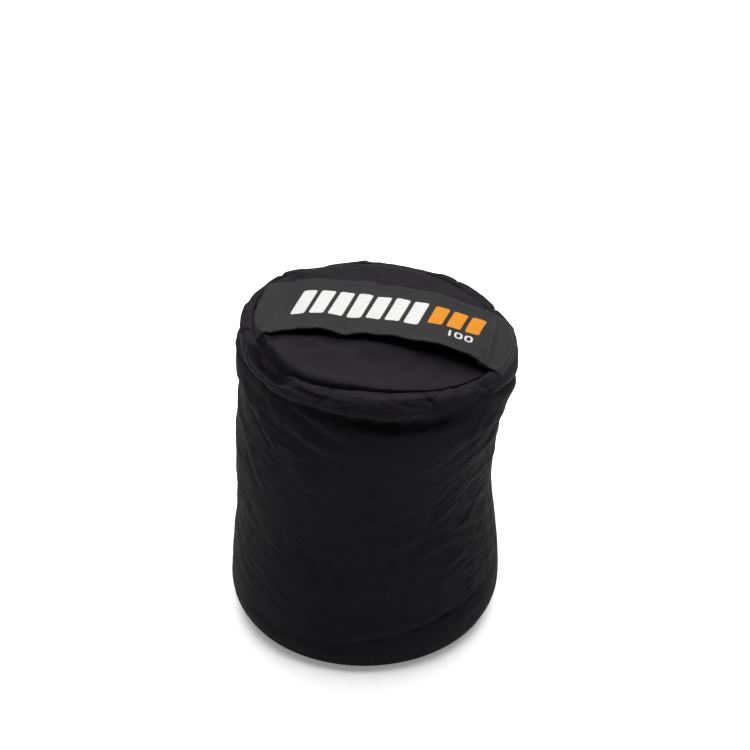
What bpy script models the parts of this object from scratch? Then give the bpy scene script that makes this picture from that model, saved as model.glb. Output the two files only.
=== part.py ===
"""A sand-filled training bag: a round fabric bag with a rolled rim, a domed lid and a wide grip band.

The bag stands on the XY plane. Z is up, and X runs along the grip band. All sizes are in metres.
The shells are turned around Z from one profile, then leaned and tilted together, so they keep
their distance from each other. The lid's pieces are laid out in the lid's own frame, whose zero is
the middle of the lid's seam.
"""

import math

import bmesh
import bpy
from mathutils import Vector

# Clearances
GAP = 0.0003  # between pieces that are sewn or laid together
CLIMB_GAP = 0.0009  # between the band's right end and the rim that it climbs

# Outline of the standing bag
BULGE_RADIUS = 0.2125  # the bag's widest, low down
BULGE_HEIGHT = 0.050
FOOT_DRAW = 0.0245  # from the bulge in to the base panel's edge
WAIST_DRAW = 0.0145  # from the bulge in to the slack waist
WAIST_HEIGHT = 0.235
SHOULDER_DRAW = 0.0110  # from the bulge in to the shoulder
SHOULDER_DEPTH = 0.085  # below the lid's seam
SEAM_DRAW = 0.0145  # from the shoulder in to the lid's seam
SEAM_HEIGHT = 0.495
LID_RISE = 0.020

FOOT_RADIUS = BULGE_RADIUS - FOOT_DRAW
WAIST_RADIUS = BULGE_RADIUS - WAIST_DRAW
SHOULDER_RADIUS = BULGE_RADIUS - SHOULDER_DRAW
SHOULDER_HEIGHT = SEAM_HEIGHT - SHOULDER_DEPTH
SEAM_RADIUS = SHOULDER_RADIUS - SEAM_DRAW

# How the filled bag has settled
LEAN_ALONG = 0.021
LEAN_ACROSS = 0.004
LEAN_START_HEIGHT = 0.150
LID_TILT = math.radians(5.5)
LOBE_SHARE = 0.008  # of the radius
LOBES = 3
LOBE_TURN = math.radians(40)

# Cloth and film
WALL_THICKNESS = 0.0015  # also the base panel's
LID_THICKNESS = 0.0012
BINDING_THICKNESS = 0.0020
BINDING_WIDTH = 0.016
LINER_THICKNESS = 0.0008
BACK_SEAM_THICKNESS = 0.0016
BACK_SEAM_SHARE = 0.6  # of one facet's width

WALL_TOP = SEAM_HEIGHT - LID_THICKNESS - GAP

# Rolled rim
RIM_THICKNESS = 0.0014
RIM_DROP = 0.034  # from the lid's seam to the roll's lower lip
RIM_SIDE_DROP = 0.014  # more than that on the low side
RIM_CREST = 0.005  # above the lid's seam
RIM_REACH = 0.007  # beyond the shoulder
RIM_LOW_TURN = math.radians(-12)

# Filling opening
FILL_DEPTH = 0.027  # of the sand's edge below the lid's seam
FILL_CROWN = 0.012  # the sand's rise from there to the liner's neck
NECK_RADIUS = 0.030
NECK_LENGTH = 0.014
TIE_RADIUS = 0.0022
LINER_STEP = 0.006  # the run in which the liner rises over the base binding

FILL_HEIGHT = SEAM_HEIGHT - FILL_DEPTH

# Zip
SLIT_HALF_WIDTH = 0.008
TAPE_OUTER = 0.0165
TAPE_THICKNESS = 0.0008
TOOTH_PITCH = 0.0042
TOOTH_HEIGHT = 0.0024
TOOTH_TIP = 0.0006  # from the centre line, so the slider's post can pass
TOOTH_ROOT = 0.0022
BEAD_OUTER = 0.0032
TOOTH_TIP_SHARE = 0.5  # of the pitch
CHAIN_INSET_LEFT = 0.016  # from the band's sewn end to the chain's left end
CHAIN_INSET_RIGHT = 0.036  # from the band's free end to the chain's right end
SLIDER_LENGTH = 0.014
SLIDER_WALL = 0.0012
SLIDER_FRONT_WIDTH = 0.0125
SLIDER_TAIL_WIDTH = 0.0100
SLIDER_POST = 0.0005
SLIDER_REST = 0.010  # from the chain's left end to the slider's middle
BAIL_LENGTH = 0.0085
BAIL_HEIGHT = 0.0040
BAIL_WIDTH = 0.0020
BAIL_BAR = 0.0012
PULL_LENGTH = 0.026
PULL_WIDTH = 0.0090
PULL_THICKNESS = 0.0014
PULL_ARM = 0.0018
PULL_EYE_LENGTH = 0.0062
PULL_LIFT = 0.0006  # over the slider

# Grip band
BAND_WIDTH = 0.148
BAND_THICKNESS = 0.0024
BAND_HEM_WIDTH = 0.010
BAND_HEM_STEP = 0.0010
BAND_HEM_RAISE = 0.0005
BAND_ARCH = 0.014  # over the lid, on the left side and at the middle
RIGHT_ARCH_RAISE = 0.007  # more than that on the right side
RIGHT_ARCH_REACH = 0.110  # from the lid's middle to where the raise is full
SEWN_LENGTH = 0.0237  # of the sewn end, along the band's edges
FREE_CLEARANCE = 0.0077  # from the free end's corners to the lid's seam
BEND_REACH = 0.050  # from the lid's middle to the two bends
BAND_OVERLAP = 0.014  # of the free end over the right end piece
ARCH_POWER_LEFT = 5.0
ARCH_POWER_RIGHT = 8.0

# From the lid's middle to the band's corners, to its sewn and free ends and to the chain's ends
CORNER_REACH = math.sqrt(SEAM_RADIUS**2 - (BAND_WIDTH / 2) ** 2)
PIVOT_REACH = CORNER_REACH - SEWN_LENGTH
FREE_REACH = CORNER_REACH - FREE_CLEARANCE
CHAIN_LEFT = PIVOT_REACH - CHAIN_INSET_LEFT
CHAIN_RIGHT = FREE_REACH - CHAIN_INSET_RIGHT

# Fineness
SEGMENTS = 40
CORNER_ROWS = 4
SIDE_ROWS = 3
LID_RINGS = 5
CROWN_COLUMNS = 22
BAND_COLUMNS = 6
BAND_ROWS = 4
END_COLUMNS = 3
CLIMB_ROWS = 4  # of the rim's section that the right end piece covers
TAB_COLUMNS = 4
PULL_ARC_STEPS = 8
TIE_SIDES = 6
SHARP_ANGLE = math.radians(40)

# Colours, as linear values
NYLON = (0.012, 0.011, 0.012)
BAND_CLOTH = (0.020, 0.020, 0.020)
WEBBING = (0.008, 0.008, 0.008)
FILM = (0.62, 0.64, 0.66)
SAND = (0.50, 0.40, 0.26)
MOULDED = (0.010, 0.010, 0.010)
METAL = (0.30, 0.30, 0.31)


def clear_scene():
    for obj in list(bpy.data.objects):
        bpy.data.objects.remove(obj, do_unlink=True)


def finish_material(name, colour, roughness, metallic):
    material = bpy.data.materials.new(name)
    material.use_nodes = True
    shader = material.node_tree.nodes["Principled BSDF"]
    shader.inputs["Base Color"].default_value = (*colour, 1)
    shader.inputs["Roughness"].default_value = roughness
    shader.inputs["Metallic"].default_value = metallic
    return material


def make_object(name, bm, colour, roughness=0.85, metallic=0.0, origin=(0, 0, 0)):
    """One named piece, with its own material and its origin where its joint is."""
    bm.normal_update()
    if all(edge.is_manifold for edge in bm.edges):
        bmesh.ops.recalc_face_normals(bm, faces=bm.faces)
    bmesh.ops.translate(bm, verts=bm.verts, vec=-Vector(origin))
    mesh = bpy.data.meshes.new(name)
    bm.to_mesh(mesh)
    bm.free()
    mesh.shade_smooth()
    mesh.set_sharp_from_angle(angle=SHARP_ANGLE)
    mesh.materials.append(finish_material(name, colour, roughness, metallic))
    obj = bpy.data.objects.new(name, mesh)
    obj.location = origin
    bpy.context.scene.collection.objects.link(obj)
    return obj


def ease(share):
    share = min(max(share, 0), 1)
    return share * share * (3 - 2 * share)


def mix(low, high, share):
    return low + (high - low) * share


# The bag's outline and how it has settled


def body_radius(height):
    """Outer radius of the wall, above the rounded bottom corner."""
    if height <= WAIST_HEIGHT:
        span = WAIST_HEIGHT - BULGE_HEIGHT
        return mix(BULGE_RADIUS, WAIST_RADIUS, ease((height - BULGE_HEIGHT) / span))
    if height <= SHOULDER_HEIGHT:
        span = SHOULDER_HEIGHT - WAIST_HEIGHT
        return mix(WAIST_RADIUS, SHOULDER_RADIUS, ease((height - WAIST_HEIGHT) / span))
    span = SEAM_HEIGHT - SHOULDER_HEIGHT
    return mix(SHOULDER_RADIUS, SEAM_RADIUS, ease((height - SHOULDER_HEIGHT) / span))


def body_profile(top):
    """(radius, height) points up the outside of the wall, from the floor to the given height."""
    points = []
    corner_radius = BULGE_RADIUS - FOOT_RADIUS - GAP
    for row in range(CORNER_ROWS):
        turn = math.pi / 2 * row / CORNER_ROWS
        points.append(
            (
                FOOT_RADIUS + GAP + corner_radius * math.sin(turn),
                BULGE_HEIGHT * (1 - math.cos(turn)),
            )
        )
    stops = [BULGE_HEIGHT, WAIST_HEIGHT, SHOULDER_HEIGHT, top]
    for low, high in zip(stops, stops[1:]):
        for row in range(SIDE_ROWS):
            height = mix(low, high, row / SIDE_ROWS)
            points.append((body_radius(height), height))
    points.append((body_radius(top), top))
    return points


def profile_normals(points):
    normals = []
    for index in range(len(points)):
        before = points[max(index - 1, 0)]
        after = points[min(index + 1, len(points) - 1)]
        run = Vector((after[0] - before[0], after[1] - before[1])).normalized()
        normals.append((run.y, -run.x))
    normals[0] = (0, -1)
    normals[-1] = (1, 0)
    return normals


def inward(points, depth):
    """The same profile, moved into the bag."""
    moved = zip(points, profile_normals(points))
    return [(r - depth * nr, z - depth * nz) for (r, z), (nr, nz) in moved]


def settle_share(height):
    return ease((height - LEAN_START_HEIGHT) / (SHOULDER_HEIGHT - LEAN_START_HEIGHT))


def leaned(x, y, z, share):
    """A point given from the middle of the lid's seam, tilted and moved by a share of the lean."""
    tilt = LID_TILT * share
    return Vector(
        (
            x * math.cos(tilt) + z * math.sin(tilt) + LEAN_ALONG * share,
            y + LEAN_ACROSS * share,
            SEAM_HEIGHT - x * math.sin(tilt) + z * math.cos(tilt),
        )
    )


def settled(x, y, height):
    """A point of the upright bag, where it has settled. Above the shoulder the bag moves as one."""
    share = settle_share(height)
    lobes = math.cos(LOBES * math.atan2(y, x) + LOBE_TURN)
    swell = 1 + LOBE_SHARE * lobes * ease(height / BULGE_HEIGHT) * (1 - share)
    return leaned(x * swell, y * swell, height - SEAM_HEIGHT, share)


def lid_point(x, y, z):
    """A point given in the lid's frame, where zero is the middle of the lid's seam."""
    return leaned(x, y, z, 1)


def lid_radius_of_curvature():
    return (SEAM_RADIUS**2 + LID_RISE**2) / (2 * LID_RISE)


def lid_height(radius):
    """Height of the lid's top above its seam, at a distance from its middle."""
    curve = lid_radius_of_curvature()
    return LID_RISE - curve + math.sqrt(curve**2 - radius**2)


def on_crown(along, across, height):
    """A point beside the zip's centre line, which is an arc over the lid."""
    curve = lid_radius_of_curvature()
    turn = along / curve
    x = (curve + height) * math.sin(turn)
    z = LID_RISE - curve + (curve + height) * math.cos(turn)
    return lid_point(x, across, z)


def crown_centre():
    return lid_point(0, 0, LID_RISE - lid_radius_of_curvature())


# Modelling helpers


def turned(section, place, closed=True):
    """Spins a section of (radius, height) points around Z, then settles every point."""
    bm = bmesh.new()
    verts = [bm.verts.new((r, 0, z)) for r, z in section]
    edges = [bm.edges.new(pair) for pair in zip(verts, verts[1:])]
    if closed:
        edges.append(bm.edges.new((verts[-1], verts[0])))
    bmesh.ops.spin(
        bm,
        geom=verts + edges,
        cent=(0, 0, 0),
        axis=(0, 0, 1),
        angle=math.tau,
        steps=SEGMENTS,
        use_merge=True,
    )
    bmesh.ops.remove_doubles(bm, verts=bm.verts, dist=GAP / SEGMENTS)
    for vert in bm.verts:
        vert.co = place(*vert.co)
    return bm


def slab(columns, rows, thickness):
    """A flat slab of unit width and length, in faces that can be bent. Its underside is at zero."""
    bm = bmesh.new()
    bmesh.ops.create_grid(bm, x_segments=columns, y_segments=rows, size=0.5)
    raised = bmesh.ops.extrude_face_region(bm, geom=bm.faces[:])
    top = [item for item in raised["geom"] if isinstance(item, bmesh.types.BMVert)]
    bmesh.ops.translate(bm, verts=top, vec=(0, 0, thickness))
    return bm


def extruded(outline, direction):
    """A closed outline pushed along a direction."""
    bm = bmesh.new()
    face = bm.faces.new([bm.verts.new(point) for point in outline])
    raised = bmesh.ops.extrude_face_region(bm, geom=[face])
    top = [item for item in raised["geom"] if isinstance(item, bmesh.types.BMVert)]
    bmesh.ops.translate(bm, verts=top, vec=direction)
    return bm


def helper_object(name, bm):
    """A cutter or a filler for a Boolean, which isn't a piece of its own."""
    bm.normal_update()
    bmesh.ops.recalc_face_normals(bm, faces=bm.faces)
    mesh = bpy.data.meshes.new(name)
    bm.to_mesh(mesh)
    bm.free()
    obj = bpy.data.objects.new(name, mesh)
    obj.hide_render = True
    obj.display_type = "WIRE"
    bpy.context.scene.collection.objects.link(obj)
    return obj


def combine(obj, other, operation):
    modifier = obj.modifiers.new(operation.title(), "BOOLEAN")
    modifier.operation = operation
    modifier.solver = "EXACT"
    modifier.object = other


# Base and wall


def make_base():
    section = [(0, 0), (FOOT_RADIUS, 0), (FOOT_RADIUS, WALL_THICKNESS), (0, WALL_THICKNESS)]
    make_object("base_panel", turned(section, settled, closed=False), NYLON)


def base_binding_path(depth):
    """Along the base and onto the wall's first facet, at a depth inside them."""
    first, second = inward(body_profile(WALL_TOP), depth)[:2]
    share = min(BINDING_WIDTH / 2 / (second[0] - first[0]), 1)
    edge = (mix(first[0], second[0], share), mix(first[1], second[1], share))
    return [(FOOT_RADIUS - BINDING_WIDTH / 2, depth), first, edge]


def make_base_binding():
    """The bound seam between base and wall, inside the corner."""
    low = base_binding_path(WALL_THICKNESS + GAP)
    high = base_binding_path(WALL_THICKNESS + GAP + BINDING_THICKNESS)
    make_object("base_seam_binding", turned(low + high[::-1], settled), WEBBING)


def make_wall():
    outside = body_profile(WALL_TOP)
    section = outside + inward(outside, WALL_THICKNESS)[::-1]
    make_object("body_wall", turned(section, settled), NYLON)


def make_back_seam():
    """The lapped seam that closes the wall into a tube, on the facet at the back."""
    profile = body_profile(WALL_TOP)
    normals = profile_normals(profile)
    top = SEAM_HEIGHT - RIM_DROP - RIM_SIDE_DROP
    rows = [i for i, (r, z) in enumerate(profile) if BULGE_HEIGHT <= z <= top]
    turns = [math.tau * (SEGMENTS // 4 + step) / SEGMENTS for step in (0, 1)]
    bm = slab(1, len(rows) - 1, 1)
    for vert in bm.verts:
        row = rows[round((vert.co.y + 0.5) * (len(rows) - 1))]
        off = GAP + vert.co.z * BACK_SEAM_THICKNESS
        radius = profile[row][0] + off * normals[row][0]
        height = profile[row][1] + off * normals[row][1]
        left, right = [settled(radius * math.cos(t), radius * math.sin(t), height) for t in turns]
        vert.co = left.lerp(right, 0.5 + BACK_SEAM_SHARE * vert.co.x)
    make_object("back_seam", bm, NYLON)


# Rolled rim


def rim_drop(turn):
    """How far the roll hangs below the lid's seam. It hangs lowest on one side."""
    lowness = (1 + math.cos(turn - RIM_LOW_TURN)) / 2
    return RIM_DROP + RIM_SIDE_DROP * lowness**2


# The roll's section, from the lid's seam to the lip that turns in under it. Shares are of the
# rim's reach beyond the wall and, below the seam, of its drop or, above it, of its crest.
RIM_SHARES = (
    (0.00, 0.00),
    (0.12, 0.62),
    (0.38, 1.00),
    (0.72, 0.74),
    (0.95, -0.04),
    (1.00, -0.30),
    (0.97, -0.60),
    (0.86, -0.85),
    (0.58, -1.00),
    (0.16, -0.93),
)


def make_rim():
    reach_at_seam = SHOULDER_RADIUS - SEAM_RADIUS + RIM_REACH
    bm = bmesh.new()
    bmesh.ops.create_grid(bm, x_segments=SEGMENTS, y_segments=len(RIM_SHARES), size=0.5)
    for vert in bm.verts:
        turn = -math.tau * (vert.co.x + 0.5)
        row = round((vert.co.y + 0.5) * len(RIM_SHARES))
        if row == 0:
            radius, height = SEAM_RADIUS + GAP, -LID_THICKNESS
        else:
            out, up = RIM_SHARES[row - 1]
            height = up * (RIM_CREST if up > 0 else rim_drop(turn))
            radius = SEAM_RADIUS + GAP + out * reach_at_seam
            if up < 0:
                wall = body_radius(SEAM_HEIGHT + height)
                radius = wall + GAP + RIM_THICKNESS / 2 + out * (SHOULDER_RADIUS + RIM_REACH - wall)
        vert.co = lid_point(radius * math.cos(turn), radius * math.sin(turn), height)
    bmesh.ops.remove_doubles(bm, verts=bm.verts, dist=GAP / SEGMENTS)
    rim = make_object("rim_roll", bm, NYLON)
    shell = rim.modifiers.new("Solidify", "SOLIDIFY")
    shell.thickness = RIM_THICKNESS
    shell.offset = -1


# Lid


def make_lid_half(name, side):
    """Half of the domed lid. The two halves meet at the zip's slit."""
    rings = [SEAM_RADIUS * ring / LID_RINGS for ring in range(LID_RINGS + 1)]
    top = [(r, lid_height(r)) for r in rings]
    section = top + [(r, z - LID_THICKNESS) for r, z in top[::-1]]
    bm = turned(section, lambda x, y, z: Vector((x, y, z)), closed=False)
    cut = bmesh.ops.bisect_plane(
        bm,
        geom=bm.verts[:] + bm.edges[:] + bm.faces[:],
        plane_co=(0, side * SLIT_HALF_WIDTH, 0),
        plane_no=(0, -side, 0),
        clear_outer=True,
    )
    edges = [item for item in cut["geom_cut"] if isinstance(item, bmesh.types.BMEdge)]
    bmesh.ops.contextual_create(bm, geom=edges)
    for vert in bm.verts:
        vert.co = lid_point(*vert.co)
    make_object(name, bm, NYLON)


def lid_binding_inner():
    return SEAM_RADIUS - WALL_THICKNESS - GAP - BINDING_WIDTH


def make_lid_binding():
    """The bound seam under the lid's edge, inside the wall."""
    radii = (lid_binding_inner(), SEAM_RADIUS - WALL_THICKNESS - GAP)
    high = [(r, lid_height(r) - LID_THICKNESS - GAP) for r in radii]
    low = [(r, z - BINDING_THICKNESS) for r, z in high]
    make_object("lid_seam_binding", turned(low + high[::-1], lid_point), WEBBING)


# Zip


def tape_top():
    """Height of the zip tape's upper face, under the lid, measured from the crown's arc."""
    curve = lid_radius_of_curvature()
    fall = curve - math.sqrt(curve**2 - TAPE_OUTER**2)
    return -(LID_THICKNESS + GAP + fall)


def tooth_middle():
    return tape_top() - TAPE_THICKNESS / 2


def tape_half():
    return lid_binding_inner() - GAP - TAPE_THICKNESS


def make_tape(name, side):
    bm = slab(CROWN_COLUMNS, 1, 1)
    for vert in bm.verts:
        along = 2 * tape_half() * vert.co.x
        across = side * mix(BEAD_OUTER + GAP, TAPE_OUTER, vert.co.y + 0.5)
        vert.co = on_crown(along, across, tape_top() - TAPE_THICKNESS * (1 - vert.co.z))
    make_object(name, bm, WEBBING)


def make_teeth(name, side, first):
    """A row of teeth on its bead. Each tooth is drawn out of one face of the bead."""
    pitches = int((CHAIN_LEFT + CHAIN_RIGHT) / TOOTH_PITCH - first)
    bm = slab(pitches, 1, 1)
    bm.faces.ensure_lookup_table()
    inner = [face for face in bm.faces if face.normal.y < -0.5]
    drawn = bmesh.ops.extrude_discrete_faces(bm, faces=inner)
    for face in drawn["faces"]:
        middle = face.calc_center_median()
        for vert in face.verts:
            vert.co.x = mix(middle.x, vert.co.x, TOOTH_TIP_SHARE)
            vert.co.y = -1
    for vert in bm.verts:
        along = ((vert.co.x + 0.5) * pitches + first) * TOOTH_PITCH - CHAIN_LEFT
        if vert.co.y < -0.75:
            across = TOOTH_TIP
        else:
            across = mix(TOOTH_ROOT, BEAD_OUTER, vert.co.y + 0.5)
        height = tooth_middle() + TOOTH_HEIGHT * (vert.co.z - 0.5)
        vert.co = on_crown(along, side * across, height)
    make_object(name, bm, MOULDED, roughness=0.5)


def make_end_tab(name, end, chain_end):
    """The cloth tab that closes the slit between the tapes, from the chain to the binding."""
    bm = slab(TAB_COLUMNS, 1, 1)
    for vert in bm.verts:
        along = end * mix(chain_end + GAP, tape_half(), vert.co.x + 0.5)
        height = tooth_middle() + TOOTH_HEIGHT * (vert.co.z - 0.5)
        vert.co = on_crown(along, 2 * BEAD_OUTER * vert.co.y, height)
    make_object(name, bm, WEBBING)


def slider_top():
    return tooth_middle() + TOOTH_HEIGHT / 2 + GAP + SLIDER_WALL


def slider_outline(half_width):
    """Half of the slider's section, across the chain: plates, side lips and the post between."""
    plate_top = slider_top()
    plate_under = plate_top - SLIDER_WALL
    lip_under = tape_top() + GAP
    floor_top = tooth_middle() - TOOTH_HEIGHT / 2 - GAP
    lip_top = tape_top() - TAPE_THICKNESS - GAP
    inside = BEAD_OUTER + GAP
    return [
        (half_width, plate_top),
        (half_width, lip_under),
        (inside, lip_under),
        (inside, plate_under),
        (SLIDER_POST / 2, plate_under),
        (SLIDER_POST / 2, floor_top),
        (inside, floor_top),
        (inside, lip_top),
        (half_width, lip_top),
        (half_width, floor_top - SLIDER_WALL),
    ]


def slider_rest():
    return SLIDER_REST - CHAIN_LEFT


def make_slider():
    """The slider rides around the chain. Its bail is the bridge that holds the pull."""
    half = slider_outline(SLIDER_TAIL_WIDTH / 2)
    ring = half + [(-y, z) for y, z in half[::-1]]
    outline = [(-SLIDER_LENGTH / 2, y, z) for y, z in ring]
    bm = extruded(outline, (SLIDER_LENGTH, 0, 0))
    widen = SLIDER_FRONT_WIDTH / SLIDER_TAIL_WIDTH
    for vert in bm.verts:
        if vert.co.x > 0 and abs(vert.co.y) > BEAD_OUTER + 2 * GAP:
            vert.co.y *= widen
    bail_top = slider_top() + BAIL_HEIGHT
    half_bail = BAIL_LENGTH / 2
    foot = slider_top() - SLIDER_WALL / 2
    bail = [
        (-half_bail, foot),
        (-half_bail, bail_top - BAIL_BAR),
        (-half_bail + BAIL_BAR, bail_top),
        (half_bail - BAIL_BAR, bail_top),
        (half_bail, bail_top - BAIL_BAR),
        (half_bail, foot),
        (half_bail - BAIL_BAR, foot),
        (half_bail - BAIL_BAR, bail_top - BAIL_BAR),
        (-half_bail + BAIL_BAR, bail_top - BAIL_BAR),
        (-half_bail + BAIL_BAR, foot),
    ]
    arch = extruded([(x, -BAIL_WIDTH / 2, z) for x, z in bail], (0, BAIL_WIDTH, 0))
    for shape in (bm, arch):
        for vert in shape.verts:
            vert.co = at_slider(*vert.co)
    slider = make_object("zip_slider", bm, METAL, 0.35, 1.0, origin=crown_centre())
    combine(slider, helper_object("bail_filler", arch), "UNION")


def at_slider(x, y, z):
    """Places a point of the slider or its pull, given as if the slider were on the crown."""
    curve = lid_radius_of_curvature()
    turn = slider_rest() / curve
    out = curve + z
    across = x * math.cos(turn) + out * math.sin(turn)
    up = -x * math.sin(turn) + out * math.cos(turn)
    return lid_point(across, y, LID_RISE - curve + up)


def pull_middle():
    return slider_top() + PULL_LIFT + PULL_THICKNESS / 2


def make_pull():
    """The flat pull. Its crossbar turns under the slider's bail."""
    low = pull_middle() - PULL_THICKNESS / 2
    bar_back = -PULL_THICKNESS / 2
    radius = PULL_WIDTH / 2
    tip = PULL_LENGTH - radius
    arc = [math.pi * (0.5 - step / PULL_ARC_STEPS) for step in range(PULL_ARC_STEPS + 1)]
    outline = [(bar_back, -radius, low), (bar_back, radius, low)]
    outline += [(tip + radius * math.cos(t), radius * math.sin(t), low) for t in arc]
    bm = extruded(outline, (0, 0, PULL_THICKNESS))
    eye_start = PULL_THICKNESS / 2
    eye_half = radius - PULL_ARM
    eye = [(eye_start, -eye_half), (eye_start, eye_half)]
    eye += [(PULL_EYE_LENGTH, eye_half), (PULL_EYE_LENGTH, -eye_half)]
    cutter = extruded([(x, y, low - PULL_THICKNESS) for x, y in eye], (0, 0, 3 * PULL_THICKNESS))
    for shape in (bm, cutter):
        for vert in shape.verts:
            vert.co = at_slider(*vert.co)
    origin = at_slider(0, 0, pull_middle())
    pull = make_object("zip_pull", bm, METAL, 0.35, 1.0, origin=origin)
    combine(pull, helper_object("eye_cutter", cutter), "DIFFERENCE")


# Grip band


def end_stack():
    """Height of the band's free end above the lid, on top of the right end piece."""
    return GAP + BAND_THICKNESS + BAND_HEM_RAISE


def band_under(x):
    """Height of the band's underside above the lid's seam, along the lid's middle line."""
    if x > 0:
        share = min(x / FREE_REACH, 1) ** ARCH_POWER_RIGHT
        arch = BAND_ARCH + RIGHT_ARCH_RAISE * ease(x / RIGHT_ARCH_REACH)
        return lid_height(x) + GAP + mix(arch, end_stack(), share)
    share = min(-x / PIVOT_REACH, 1) ** ARCH_POWER_LEFT
    return lid_height(x) + GAP + BAND_ARCH * (1 - share)


def hem_rows():
    """(across, raised) rows over the band's width. Both long edges are turned and raised."""
    edge = BAND_WIDTH / 2
    inner = edge - BAND_HEM_WIDTH
    flat = inner - BAND_HEM_STEP
    middle = [(mix(-flat, flat, row / BAND_ROWS), 0) for row in range(1, BAND_ROWS)]
    return [(-edge, 1), (-inner, 1), (-flat, 0), *middle, (flat, 0), (inner, 1), (edge, 1)]


def banded(columns, place):
    """A stretch of band. place gives the point at (share along, across, height)."""
    rows = hem_rows()
    bm = slab(columns, len(rows) - 1, 1)
    for vert in bm.verts:
        across, raised = rows[round((vert.co.y + 0.5) * (len(rows) - 1))]
        height = vert.co.z * (BAND_THICKNESS + raised * BAND_HEM_RAISE)
        vert.co = place(vert.co.x + 0.5, across, height)
    return bm


def make_band_piece(name, start, end, origin):
    def place(share, across, height):
        x = mix(start, end, share)
        return lid_point(x, across, band_under(x) + height)

    make_object(name, banded(BAND_COLUMNS, place), BAND_CLOTH, origin=origin)


def make_band():
    """Three stretches. The left one turns at its top face, the other two at their underside."""
    pivot = lid_point(-PIVOT_REACH, 0, band_under(-PIVOT_REACH) + BAND_THICKNESS)
    bends = [lid_point(x, 0, band_under(x)) for x in (-BEND_REACH, BEND_REACH)]
    half = GAP / 2
    make_band_piece("band_left", -PIVOT_REACH + half, -BEND_REACH - half, pivot)
    make_band_piece("band_middle", -BEND_REACH + half, BEND_REACH - half, bends[0])
    make_band_piece("band_right", BEND_REACH + half, FREE_REACH, bends[1])


def make_end_left():
    """The stretch of the band that is sewn down into the lid's seam."""

    def place(share, across, height):
        arc = math.sqrt(SEAM_RADIUS**2 - across**2)
        x = mix(-arc, -PIVOT_REACH - GAP / 2, share)
        on_lid = lid_height(math.hypot(x, across)) + GAP
        return lid_point(x, across, mix(on_lid, band_under(-PIVOT_REACH), share) + height)

    make_object("band_end_left", banded(END_COLUMNS, place), BAND_CLOTH)


def end_path():
    """(radius, height) under the right end piece: along the lid, then up and over the rim."""
    reach = SHOULDER_RADIUS - SEAM_RADIUS + RIM_REACH
    valley = SEAM_RADIUS - CLIMB_GAP - BAND_THICKNESS
    start = FREE_REACH - BAND_OVERLAP
    radii = [mix(start, valley, step / END_COLUMNS) for step in range(END_COLUMNS + 1)]
    on_lid = [(r, lid_height(r) + GAP) for r in radii]
    foot = (SEAM_RADIUS - CLIMB_GAP, on_lid[-1][1] + CLIMB_GAP)
    rim = [(SEAM_RADIUS + GAP + out * reach, up * RIM_CREST) for out, up in RIM_SHARES]
    over_rim = inward(rim, CLIMB_GAP)
    return on_lid + [foot] + over_rim[1 : CLIMB_ROWS + 1]


def make_end_right():
    """The end piece that climbs the rim. The band's free stretch lies on it and can slip back."""
    low = end_path()
    steps = len(low) - 1
    normals = profile_normals(low)
    normals[-1] = normals[-2]

    def place(share, across, height):
        row = round(share * steps)
        radius, under = low[row]
        out, up = -normals[row][0], -normals[row][1]
        radius += out * height
        curve = ease(row / END_COLUMNS)
        x = mix(radius, math.sqrt(radius**2 - across**2), curve)
        on_lid = row <= END_COLUMNS
        fall = lid_height(math.hypot(x, across)) - lid_height(radius) if on_lid else 0
        return lid_point(x, across, under + fall * curve + up * height)

    make_object("band_end_right", banded(steps, place), BAND_CLOTH)


# Filling


def at_height(path, height):
    """The point at a height on a path that rises."""
    for low, high in zip(path, path[1:]):
        if low[1] <= height <= high[1]:
            share = (height - low[1]) / (high[1] - low[1])
            return mix(low[0], high[0], share), height
    return path[-1]


def lining_path(extra):
    """(radius, height) points from the middle of the floor to the neck, inside the wall."""
    floor = WALL_THICKNESS + GAP + extra
    over_binding = floor + BINDING_THICKNESS + GAP
    step_end = FOOT_RADIUS - BINDING_WIDTH / 2 - GAP - extra
    wall = inward(body_profile(WALL_TOP), floor)
    corner = inward(body_profile(WALL_TOP), over_binding)[:2]
    edge = at_height(wall, FILL_HEIGHT - extra)
    side = [point for point in wall[2:] if point[1] < edge[1] - GAP]
    neck = NECK_RADIUS - extra
    rise = FILL_HEIGHT + FILL_CROWN - extra
    start = [(0, floor), (step_end - LINER_STEP, floor), (step_end, over_binding)]
    return start + corner + side + [edge, (neck, rise)]


def make_liner():
    """The film bag that holds the sand. Its neck stays open, gathered under the tie."""
    neck_top = FILL_HEIGHT + FILL_CROWN + NECK_LENGTH
    outside = lining_path(0) + [(NECK_RADIUS, neck_top)]
    inside = lining_path(LINER_THICKNESS) + [(NECK_RADIUS - LINER_THICKNESS, neck_top)]
    section = outside + inside[::-1]
    make_object("liner_bag", turned(section, settled, closed=False), FILM, roughness=0.4)


def make_tie():
    middle = NECK_RADIUS + GAP + TIE_RADIUS / math.cos(math.pi / TIE_SIDES)
    height = FILL_HEIGHT + FILL_CROWN + NECK_LENGTH / 2
    turns = [math.tau * side / TIE_SIDES for side in range(TIE_SIDES)]
    section = [(middle + TIE_RADIUS * math.cos(t), height + TIE_RADIUS * math.sin(t)) for t in turns]
    make_object("neck_tie", turned(section, settled), WEBBING)


def make_sand():
    path = lining_path(LINER_THICKNESS + GAP)
    section = path + [(0, path[-1][1])]
    make_object("sand_fill", turned(section, settled, closed=False), SAND, roughness=1.0)


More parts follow.
